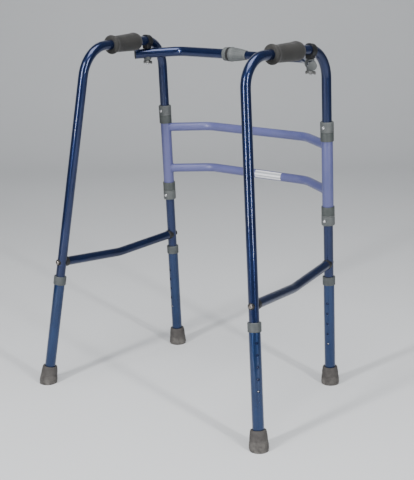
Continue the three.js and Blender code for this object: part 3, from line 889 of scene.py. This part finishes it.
def foot(hand, leg):
    place = leg_place(hand, leg)
    outline = [
        (0, -10), (20.4, -10), (20.4, 0.6), (21.3, 4.5, 3), (21.0, 13, 6), (20.2, 19.5, 0.6),
        (19.6, 20.3, 0.5), (19.7, 21.8, 0.6), (19.3, 30, 8), (18.2, 38, 4), (16.9, 43.6, 1.6),
        (13.2, 44, 0.5), (13, 9.7), (0, 9.7),
    ]
    mesh = turned_mesh(outline, sides=FINE_SIDES)
    mesh.transform(place @ Matrix.Scale(mm, 4))
    slice_off(mesh, Vector((0, 0, 0)), Vector((0, 0, -1)))
    piece = finish_mesh(mesh, f"{hand}_{leg}_ferrule", Matrix.Scale(1 / mm, 4))
    return dress(piece, f"{hand}_{leg}_foot")


for hand in HANDS:
    for leg in LEGS:
        collar(hand, leg)
        foot(hand, leg)

# %% [markdown]
# ## Hand grips
# A grip is moulded vinyl: a lip at the rear that stops the hand, a waist, a body that swells forwards,
# and a hump on top. It isn't quite round, so it is lofted: each ring's radius depends on its place along
# the handle and on the turn round it, and a fine ridge is left where the mould halves met.

# %% The grip's form
GRIP_LIMIT = 22.0
HUMP = 1.1
HUMP_SHARE = 0.85
HUMP_LENGTH = 6.5
FLATNESS = 0.35
SEAM = 0.22
GRIP_STOPS = [
    (0, 19.2), (1.4, 21.2), (4, 22.0), (7, 21.5), (12, 19.7), (20, 19.2), (40, 19.9), (66, 20.6),
    (84, 20.9), (93, 19.9), (98, 17.4), (100, 15.4),
]


def through(stops, t):
    """A smooth curve through the stops."""
    i = max(k for k in range(len(stops) - 1) if stops[k][0] <= t or k == 0)
    (x0, y0), (x1, y1) = stops[i], stops[i + 1]
    slopes = []
    for k in (i, i + 1):
        before, after = stops[max(k - 1, 0)], stops[min(k + 1, len(stops) - 1)]
        slopes.append((after[1] - before[1]) / (after[0] - before[0]) * (x1 - x0))
    u = (t - x0) / (x1 - x0)
    return (y0 * (2 * u ** 3 - 3 * u ** 2 + 1) + slopes[0] * (u ** 3 - 2 * u ** 2 + u)
            + y1 * (3 * u ** 2 - 2 * u ** 3) + slopes[1] * (u ** 3 - u ** 2))


def grip(hand, rings=84, sides=FINE_SIDES):
    front, rear = leg_top(hand, "front"), leg_top(hand, "rear")
    ahead = (front - rear).normalized()
    low, high = reach(f"{hand}_grip", front, ahead)
    place = standing(front + ahead * low * mm, ahead)
    long = high - low
    mesh = bmesh.new()
    loops = []
    for i in range(rings + 1):
        t = long * i / rings
        ring = []
        for k in range(sides):
            turn = 2 * math.pi * k / sides
            top = max(0.0, -math.sin(turn))
            hump = HUMP * math.exp(-((t - HUMP_SHARE * long) / HUMP_LENGTH) ** 2) * top ** 2
            flat = FLATNESS * math.cos(4 * turn) * math.sin(math.pi * t / long)
            seam = SEAM if k in (0, sides // 2) else 0
            radius = min(GRIP_LIMIT, through(GRIP_STOPS, 100 * t / long) + hump + seam - flat)
            ring.append(mesh.verts.new((radius * math.cos(turn), radius * math.sin(turn), t)))
        loops.append(ring)
    for inner in (long, 0):
        loops.append([mesh.verts.new((BORE * v.co.x / v.co.to_2d().length,
                                      BORE * v.co.y / v.co.to_2d().length, inner)) for v in loops[0]])
    for low_ring, high_ring in zip(loops, loops[1:] + loops[:1]):
        for k in range(sides):
            n = (k + 1) % sides
            mesh.faces.new((low_ring[k], low_ring[n], high_ring[n], high_ring[k]))
    return dress(finish_mesh(mesh, f"{hand}_moulded_grip", place), f"{hand}_grip")


for hand in HANDS:
    print(hand, "grip faces:", len(grip(hand).data.polygons))

# %% [markdown]
# ## Side braces
# A dark bent tube ties each front leg to its rear leg. A plastic saddle fits between the tube's end and
# the leg, and a long screw comes in from the leg's far side over a curved washer.

# %% Braces, saddles and washers
BRACE = 10.5
BRACE_BEND = 140
BRACE_SAG = 12
BRACE_SHARE = 302 / 800
BRACE_START = 16.3
WASHER_TOP = 13.0
CUT_REACH = 40
screw_points = {f"{hand}_side": {"ring": [], "brace": []} for hand in HANDS}
for hand in HANDS:
    axes = {leg: soles[f"{hand}_{leg}_foot_sole"].lerp(leg_top(hand, leg), BRACE_SHARE) for leg in LEGS}
    middle = axes["front"].lerp(axes["rear"], 0.5) - Vector((0, 0, BRACE_SAG * mm))
    ends = []
    for leg, axis in axes.items():
        inward = (middle - axis).normalized()
        ends.append(axis + inward * BRACE_START * mm)
        place = standing(axis, inward)
        leg_rod_place = standing(axis, up_of(leg_place(hand, leg)))
        body = [(0, 4), (11.6, 4), (11.6, 15.2, 0.7), (10.6, 16.0, 0.4), (8.6, 16.0), (8.6, 30, 1), (0, 30)]
        saddle = turned(f"{hand}_{leg}_saddle", body, place)
        saddle = carve(saddle, rod(leg_rod_place, TUBE + 0.1, -CUT_REACH, CUT_REACH))
        dress(saddle, f"{hand}_{leg}_brace_saddle", finish=FINISHES["black_plastic"])
        ring = [(0, -5), (7.6, -5), (7.2, -WASHER_TOP, 0.8), (0, -WASHER_TOP)]
        washer = turned(f"{hand}_{leg}_washer", ring, place)
        washer = carve(washer, rod(leg_rod_place, TUBE + 0.05, -CUT_REACH, CUT_REACH))
        trim(washer, f"{hand}_side", "dark_plastic", FINISHES["black_plastic"])
        screw_points[f"{hand}_side"]["brace"].append((axis - inward * WASHER_TOP * mm, -inward))
    tube = bent_tube(f"{hand}_bent_brace", [ends[0], middle, ends[1]], BRACE, BRACE_BEND, DARK_NAVY)
    dress(tube, f"{hand}_brace")
print("braces: 2")

# %% [markdown]
# ## Screws
# The same pan-head screw with a cross recess is used eight times in two sizes. Each size is modelled
# once, and a tree puts a copy on every point, turned to face the way that the point says.


# %% The screw and its placing tree
def screw_master(name, radius, tall, shank, long):
    head = [(0, tall), (radius * 0.55, tall * 0.93, 0.8), (radius, tall * 0.35, 0.9), (radius, 0, 0.3),
            (shank, 0), (shank, -long), (0, -long)]
    screw = turned(name, head[::-1], Matrix.Identity(4), sides=40)
    slots = []
    for turn in (0, math.pi / 2):
        mesh = bmesh.new()
        bmesh.ops.create_cube(mesh, size=1)
        size = Matrix.Diagonal((radius * 1.25, radius * 0.26, tall * 1.2, 1))
        slots.append(finish_mesh(mesh, "slot", Matrix.Rotation(turn, 4, "Z")
                                 @ Matrix.Translation((0, 0, tall * mm)) @ size))
    return carve(screw, *slots)


def place_tree():
    sizes = {"Screw": "NodeSocketObject", "Finish": "NodeSocketMaterial"}
    tree, start = new_tree("screws on points", sizes)
    screw = add(tree, "GeometryNodeObjectInfo", Object=start.outputs["Screw"])
    facing = add(tree, "GeometryNodeInputNamedAttribute", {"data_type": "FLOAT_VECTOR"}, Name="facing")
    turn = add(tree, "FunctionNodeAlignRotationToVector", {"axis": "Z"}, Vector=facing.outputs[0])
    copies = add(tree, "GeometryNodeInstanceOnPoints", Points=start.outputs["Geometry"],
                 Instance=screw.outputs["Geometry"], Rotation=turn.outputs[0])
    close_tree(tree, copies.outputs[0], start.outputs["Finish"])
    return tree


SCREWS = place_tree()


def put_screws(name, master, points, finish, *nodes):
    """One object of screws for one body. points are (place, facing) pairs."""
    base = chain([])
    base.vertices.add(len(points))
    facing = base.attributes.new("facing", "FLOAT_VECTOR", "POINT")
    for i, (place, way) in enumerate(points):
        base.vertices[i].co = place
        facing.data[i].vector = way
    values = {"Screw": master, "Finish": finish}
    return dress(grow(name, base, SCREWS, values), *nodes)


# %% Putting the screws in
BRIGHT = FINISHES["bright_steel"]
ring_screw = screw_master("ring_screw_master", 3.7, 2.3, 2.0, 7)
brace_screw = screw_master("brace_screw_master", 5.0, 3.0, 2.3, 26)
for hand in HANDS:
    for level in LEVELS:
        origin = soles[f"{hand}_front_foot_sole"]
        middle = sum(reach(f"{hand}_{level}_ring", origin, UP)) / 2
        point = origin + (UP * middle - FORWARD * BOSS_TOP) * mm
        screw_points[f"{hand}_side"]["ring"].append((point, -FORWARD))
    rings = [f"{hand}_{level}_ring_screw" for level in LEVELS]
    braces = [f"{hand}_{leg}_brace_screw" for leg in LEGS]
    put_screws(f"{hand}_ring_screws", ring_screw, screw_points[f"{hand}_side"]["ring"], BRIGHT, *rings)
    put_screws(f"{hand}_brace_screws", brace_screw, screw_points[f"{hand}_side"]["brace"], RUSTY, *braces)
for master in (ring_screw, brace_screw):
    bpy.data.objects.remove(master)
print("screws placed: 8")

# %% [markdown]
# ## The telescopic strut
# A thick tube comes from the left bracket and a thin one slides out of it to the right. Between them sit
# a clamp collar, a black seal ring and a tapered twist nut. Each bolt hangs from its bracket, through the
# strut, and ends in a wing nut, so the strut can swing as the frame folds.

# %% The two tubes and their end plugs
STRUT = 11.5
SLIDE = 9.5
STRUT_BEND = 45
STRUT_BEND_X = 180
STRUT_TIP = 29
OUTER_END = 30
INNER_END = 100
left_bolt = Vector(joints["strut_pivot"]["pos_m"])
right_bolt = Vector(joints["right_wing_nut_turn"]["pos_m"])
lock_middle = Vector(joints["lock_nut_turn"]["pos_m"])


def strut_run(hand, bolt):
    """The strut's corner and tip on one side, and the way its end points."""
    bend = Vector((HANDS[hand] * STRUT_BEND_X * mm, lock_middle.y, lock_middle.z))
    out = (bolt - bend).normalized()
    return bend, bolt + out * STRUT_TIP * mm, out


left_bend, left_tip, left_out = strut_run("left", left_bolt)
right_bend, right_tip, right_out = strut_run("right", right_bolt)
outer_end = lock_middle - SIDEWAYS * OUTER_END * mm
inner_end = lock_middle - SIDEWAYS * INNER_END * mm
outer = bent_tube("strut_thick_tube", [left_tip, left_bend, outer_end], STRUT, STRUT_BEND, NAVY)
inner = bent_tube("strut_thin_tube", [inner_end, right_bend, right_tip], SLIDE, STRUT_BEND, NAVY)
dress(outer, "strut_outer_tube")
dress(inner, "strut_inner_tube")
for name, tip, out, radius, body, look in (
    ("left_tip_plug", left_tip, left_out, STRUT, "strut_outer", "black_plastic"),
    ("right_tip_plug", right_tip, right_out, SLIDE, "strut_inner", "grey_plastic"),
):
    stem, lip = radius - 1, radius + 0.4
    cap = [(0, -4), (stem, -4), (stem, 0), (lip, 0, 0.2), (lip, 1.6, 0.8), (0, 2.6)]
    trim(turned(name, cap, standing(tip, out)), body, "black_plastic", FINISHES[look])
print("strut length between bolts, mm:", round((right_bolt - left_bolt).length / mm, 1))

# %% Collar, seal ring and twist nut
along_strut = standing(lock_middle, SIDEWAYS, FORWARD)


def on_strut(name, node, outline, sides=72):
    return dress(turned(name, outline, along_strut, True, sides), node)


on_strut("clamp_collar", "lock_collar", [
    (11.8, -44), (14.4, -44, 0.8), (16, -42, 0.8), (16, -38.5, 0.2), (15.6, -38.1, 0.2),
    (15.6, -37.3, 0.2), (16, -36.9, 0.2), (16, -32.6, 0.5), (11.8, -32.6),
])
on_strut("seal_ring", "lock_ring", [
    (9.9, -29.6), (11.8, -29.6), (11.8, -32.2), (16.6, -32.2, 0.9), (16.6, -25.8, 0.9), (9.9, -25.8),
])
on_strut("twist_nut", "lock_nut", [
    (9.9, -25.4), (16.4, -25.4, 0.5), (17.2, -24.2, 0.6), (17.1, -20.4, 1.2), (15.9, -16.5, 3),
    (11.6, 15.5, 3), (11.2, 18.6, 0.6), (10.8, 20, 0.6), (9.9, 20),
])


# %% Ribs that a hand turns the nut by
RIB_COUNT = 18
RIB_HALF_SIZE = Vector((0.7, 0.75, 14.5))
RIB_MIDDLE = Vector((12.65, 0, -0.5))
NUT_TAPER = math.atan2(4.3, 32)


def rib_tree():
    sizes = {"Count": "NodeSocketInt", "Finish": "NodeSocketMaterial"}
    tree, start = new_tree("ribs round an axis", sizes)
    ring = add(tree, "GeometryNodeCurvePrimitiveCircle", Resolution=start.outputs["Count"], Radius=0.001)
    place = add(tree, "GeometryNodeInputPosition")
    turn = add(tree, "FunctionNodeAlignRotationToVector", {"axis": "X"}, Vector=place.outputs[0])
    turn.pivot_axis = "Z"
    copies = add(tree, "GeometryNodeInstanceOnPoints", Points=ring.outputs[0],
                 Instance=start.outputs["Geometry"], Rotation=turn.outputs[0])
    close_tree(tree, copies.outputs[0], start.outputs["Finish"])
    return tree


def one_rib():
    """A soft-edged rib that leans with the nut's taper, in its own place on the +X side."""
    mesh = bmesh.new()
    bmesh.ops.create_uvsphere(mesh, u_segments=10, v_segments=12, radius=1)
    mesh.transform(Matrix.Diagonal((*RIB_HALF_SIZE * mm, 1)))
    mesh.transform(Matrix.Rotation(-NUT_TAPER, 4, "Y"))
    mesh.transform(Matrix.Translation(RIB_MIDDLE * mm))
    data = bpy.data.meshes.new("rib")
    mesh.to_mesh(data)
    mesh.free()
    return data


rib_values = {"Count": RIB_COUNT, "Finish": FINISHES["grey_plastic"]}
ribs = grow("twist_nut_ribs", one_rib(), rib_tree(), rib_values)
ribs.data.transform(along_strut)
trim(ribs, "lock_nut", "grey_plastic")
print("ribs on the nut:", RIB_COUNT)

# %% [markdown]
# ## Brackets, bolts and wing nuts
# A strap hugs each handle where it starts to bend, so it is a slice of a thicker bent bar. A lug under
# it carries the bolt. The bolt's thread is a spiral, so a tree sweeps one, and each wing nut is a hub
# with two thin rounded wings.


# %% Straps and lugs
STRAP = 14
STRAP_HALF_WIDTH = 7
LUG_WIDTH = 17
LUG_LENGTH = 14
LUG_INSET = 8
STRAP_EDGE = 0.9
LUG_EDGE = 1.6


def slice_between(piece, point, direction, half):
    """Keeps only what lies within half millimetres of a point along a direction."""
    mesh = bmesh.new()
    mesh.from_mesh(piece.data)
    for side in (1, -1):
        slice_off(mesh, point + direction * side * half * mm, direction * side)
    mesh.to_mesh(piece.data)
    mesh.free()
    return piece


def block(name, place, size, middle, edge):
    """A box with rounded edges, in millimetres in a place."""
    mesh = bmesh.new()
    bmesh.ops.create_cube(mesh, size=1)
    stretched = place @ Matrix.Translation(Vector(middle) * mm) @ Matrix.Diagonal((*size, 1))
    return bevelled(finish_mesh(mesh, name, stretched), edge)


def strut_bracket(hand, bolt):
    front, rear = leg_top(hand, "front"), leg_top(hand, "rear")
    ahead = (front - rear).normalized()
    handle = front + ahead * (bolt - front).dot(ahead)
    places = [leg_place(hand, leg) for leg in LEGS]
    corners = [places[0].translation, front, rear, places[1].translation]
    strap = bent_tube(f"{hand}_strap", corners, STRAP, BEND, FINISHES["black_plastic"])
    strap = bevelled(slice_between(strap, handle, ahead, STRAP_HALF_WIDTH), STRAP_EDGE)
    drop = (handle - bolt).dot(UP) / mm
    low, high = STRUT + 0.4, drop - LUG_INSET
    size, middle = (LUG_WIDTH, LUG_LENGTH, high - low), (0, 0, (low + high) / 2)
    lug = block("lug", standing(bolt, UP), size, middle, LUG_EDGE)
    lug.data.materials.append(FINISHES["grey_plastic"])
    return dress(carve(strap, lug, operation="UNION"), f"{hand}_strut_bracket")


strut_bracket("left", left_bolt)
strut_bracket("right", right_bolt)

# %% Saddle and end block
pad = turned("left_saddle", [(0, -15.5), (8, -15.5, 0.6), (9.3, -14, 0.8), (9.3, -4), (0, -4)],
             standing(left_bolt, UP))
pad = carve(pad, rod(standing(left_bolt, left_out), STRUT + 0.1, -CUT_REACH, CUT_REACH))
dress(pad, "left_strut_saddle")

clamp = turned("right_end_block", [(0, -11), (10.2, -11, 0.5), (11.4, -9.8, 0.6), (11.4, 9.8, 0.6),
                                   (10.2, 11, 0.5), (0, 11)], standing(right_bolt, right_out))
boss = turned("boss", [(0, -13), (8.2, -13, 0.5), (9, -12, 0.6), (9, 11, 0.4), (0, 11.4)],
              standing(right_bolt, UP))
dress(carve(clamp, boss, operation="UNION"), "right_strut_block")
print("saddle and block faces:", len(pad.data.polygons), len(clamp.data.polygons))


# %% Threaded bolts
BOLT = 2.7
THREAD_LENGTH = 12
THREAD_TURNS = 12.0
THREAD_RIDGE = 0.35


def thread_tree():
    sizes = {"Radius": "NodeSocketFloat", "Length": "NodeSocketFloat", "Turns": "NodeSocketFloat",
             "Finish": "NodeSocketMaterial"}
    tree, start = new_tree("threaded bolt", sizes)
    spiral = add(tree, "GeometryNodeCurveSpiral", Resolution=20, Rotations=start.outputs["Turns"],
                 Start_Radius=start.outputs["Radius"], End_Radius=start.outputs["Radius"],
                 Height=start.outputs["Length"])
    section = add(tree, "GeometryNodeCurvePrimitiveCircle", Resolution=4, Radius=THREAD_RIDGE * mm)
    ridge = add(tree, "GeometryNodeCurveToMesh", Curve=spiral.outputs[0],
                Profile_Curve=section.outputs[0], Fill_Caps=True)
    both = add(tree, "GeometryNodeJoinGeometry")
    tree.links.new(ridge.outputs[0], both.inputs[0])
    tree.links.new(start.outputs["Geometry"], both.inputs[0])
    close_tree(tree, both.outputs[0], start.outputs["Finish"])
    return tree


THREAD = thread_tree()


def hanging_bolt(hand, place, end, top):
    length = top - end
    shank = turned("shank", [(0, 0), (2.2, 0), (BOLT, 0.8), (BOLT, length), (0, length)], Matrix.Identity(4))
    values = {"Radius": BOLT * mm, "Length": THREAD_LENGTH * mm, "Turns": THREAD_TURNS, "Finish": BRIGHT}
    piece = grow(f"{hand}_hanging_bolt", shank.data, THREAD, values)
    bpy.data.objects.remove(shank)
    piece.data.transform(place @ Matrix.Translation((0, 0, end * mm)))
    return dress(piece, f"{hand}_strut_bolt")


# %% Wing nuts
WING_HALF_WALL = 1.3


def bulging(start, bulge, end, steps=8):
    """Points on a curve that leaves start towards bulge and arrives at end."""
    start, bulge, end = Vector(start), Vector(bulge), Vector(end)
    shares = [k / steps for k in range(1, steps + 1)]
    return [tuple(start * (1 - t) ** 2 + bulge * 2 * t * (1 - t) + end * t ** 2) for t in shares]


def wing(side):
    """One flat rounded wing on the +X or -X side, hanging from height 0."""
    root, tip = (8, -0.8), (13.3, -6)
    curve = [(3, -1.4), root, *bulging(root, (14, -0.6), tip), *bulging(tip, (13.0, -10.2), (9.6, -8.6))]
    curve.append((3, -6.4))
    mesh = bmesh.new()
    faces = []
    for y in (-WING_HALF_WALL, WING_HALF_WALL):
        faces.append([mesh.verts.new((side * x, y, z)) for x, z in curve])
    mesh.faces.new(faces[0])
    mesh.faces.new(faces[1][::-1])
    for k in range(len(curve)):
        n = (k + 1) % len(curve)
        mesh.faces.new((faces[0][k], faces[0][n], faces[1][n], faces[1][k]))
    return mesh


def wing_nut(hand, place):
    hub = [(0, -8), (3.9, -8, 0.5), (4.7, -7, 0.6), (5.7, -1, 0.5), (5.2, 0, 0.3), (0, 0)]
    nut = turned(f"{hand}_winged_nut", hub, place, sides=40)
    wings = [bevelled(finish_mesh(wing(side), "wing", place), 0.7, 2, 50) for side in (1, -1)]
    return dress(carve(nut, *wings, operation="UNION"), f"{hand}_wing_nut", finish=DULL)


for hand, middle in (("left", left_bolt), ("right", right_bolt)):
    place = standing(middle, UP)
    low, high = reach(f"{hand}_strut_bolt", middle, UP)
    hanging_bolt(hand, place, low, high)
    nut_top = reach(f"{hand}_wing_nut", middle, UP)[1]
    wing_nut(hand, place @ Matrix.Translation((0, 0, nut_top * mm)))
print("bolts and wing nuts: 2 and 2")

# %% [markdown]
# ## The label
# A strip of film is stuck round the user's side of the lower crossbar. It is only a patch of a cylinder,
# a hair wider than the tube, and its print is left as two soft bars.


# %% A wrapped label
LABEL_START = -2
LABEL_END = 73
LABEL_LOW = -38
LABEL_WRAP = 108
LABEL_LIFT = 0.12


def label(start_x, end_x, columns=12, rows=16):
    bow, height = crossbar_middles["lower"]
    mesh = bmesh.new()
    drawn = mesh.verts.layers.float_vector.new("drawn")
    grid = []
    for i in range(columns + 1):
        x = start_x + (end_x - start_x) * i / columns
        column = []
        for k in range(rows + 1):
            turn = math.radians(LABEL_LOW + LABEL_WRAP * k / rows)
            out = FORWARD * -math.cos(turn) + UP * math.sin(turn)
            vertex = mesh.verts.new(leaning(x, bow, height) + out * (CROSSBAR + LABEL_LIFT) * mm)
            vertex[drawn] = (i / columns, k / rows, 0)
            column.append(vertex)
        grid.append(column)
    for left, right in zip(grid, grid[1:]):
        for k in range(rows):
            mesh.faces.new((left[k], right[k], right[k + 1], left[k + 1]))
    piece = finish_mesh(mesh, "crossbar_label", Matrix.Scale(1 / mm, 4))
    film = piece.modifiers.new("film", "SOLIDIFY")
    film.thickness = 0.1 * mm
    film.offset = 0
    return trim(applied(piece), "front_frame", "lavender_coat", LABEL)


label(LABEL_START, LABEL_END)
print("label width, mm:", LABEL_END - LABEL_START)

# %% [markdown]
# ## Floor, light and camera
# A pale sweep of paper keeps the eye on the frame. Two tall soft boxes draw the long bright lines on the
# tubes, a wide one overhead fills the rest, and the camera looks from the user's right, behind them.


# %% The paper sweep
CAMERA_YAW = 0.669
CAMERA_PITCH = 0.2609
CAMERA_ROLL = -0.0133
CAMERA_PLACE = Vector((1.564, -1.9595, 1.0281))
SWEEP_FLAT = 2.6
SWEEP_CURVE = 1.2
SWEEP_HALF_WIDTH = 6


def paper_sweep(steps=16):
    """A flat floor that curves up into a back wall, square to the camera."""
    profile = [(-5, 0), (SWEEP_FLAT, 0)]
    for k in range(1, steps + 1):
        a = math.pi / 2 * k / steps
        profile.append((SWEEP_FLAT + SWEEP_CURVE * math.sin(a), SWEEP_CURVE - SWEEP_CURVE * math.cos(a)))
    profile.append((SWEEP_FLAT + SWEEP_CURVE, 5))
    mesh = bmesh.new()
    turn = Matrix.Rotation(CAMERA_YAW, 4, "Z")
    sides = (-SWEEP_HALF_WIDTH, SWEEP_HALF_WIDTH)
    lines = [[mesh.verts.new(turn @ Vector((x, y, z))) for x in sides] for y, z in profile]
    for (a, b), (c, d) in zip(lines, lines[1:]):
        mesh.faces.new((a, b, d, c))
    data = bpy.data.meshes.new("paper_sweep")
    mesh.to_mesh(data)
    mesh.free()
    floor = shown("paper_sweep", data)
    floor.data.shade_smooth()
    material, shader, wire = new_finish("pale_paper", Specular_IOR_Level=0.2)
    shade = noise(wire, object_place(wire), 1.4)
    colour = mixed(wire, shade, (0.60, 0.61, 0.62, 1), (0.64, 0.65, 0.66, 1))
    plug(wire, shader, colour, 0.75 + shade * 0.1, noise(wire, object_place(wire), 300.0), 0.00005)
    floor.data.materials.append(material)


paper_sweep()


# %% Soft boxes
def soft_box(name, bearing, distance, height, size, power, target=Vector((0, 0, 0.45))):
    """A rectangular light at a bearing, in degrees from the camera's own bearing."""
    turn = Matrix.Rotation(CAMERA_YAW + math.radians(bearing), 3, "Z")
    place = turn @ Vector((0, -distance, 0)) + Vector((0, 0, height))
    light = bpy.data.lights.new(name, "AREA")
    light.shape = "RECTANGLE"
    light.size, light.size_y = size
    light.energy = power
    lamp = shown(name, light)
    lamp.location = place
    lamp.rotation_euler = (target - place).to_track_quat("-Z", "Y").to_euler()


soft_box("left_strip", -42, 2.6, 1.5, (0.22, 2.2), 85)
soft_box("right_strip", 34, 2.6, 1.4, (0.14, 2.0), 55)
soft_box("overhead", 10, 0.6, 3.2, (2.0, 2.0), 95)
world = bpy.data.worlds.new("studio")
world.use_nodes = True
background = world.node_tree.nodes["Background"].inputs
background["Color"].default_value = (0.80, 0.84, 0.90, 1)
background["Strength"].default_value = 0.26
bpy.context.scene.world = world

# %% The camera
lens = bpy.data.cameras.new("camera")
lens.lens = 83.97
lens.sensor_width = 36
lens.sensor_fit = "AUTO"
viewer = shown("camera", lens)
aim = Matrix.Rotation(CAMERA_YAW, 4, "Z") @ Matrix.Rotation(math.pi / 2 - CAMERA_PITCH, 4, "X")
viewer.matrix_world = Matrix.Translation(CAMERA_PLACE) @ aim @ Matrix.Rotation(CAMERA_ROLL, 4, "Z")
bpy.context.scene.camera = viewer
print("camera at", [round(c, 3) for c in CAMERA_PLACE])
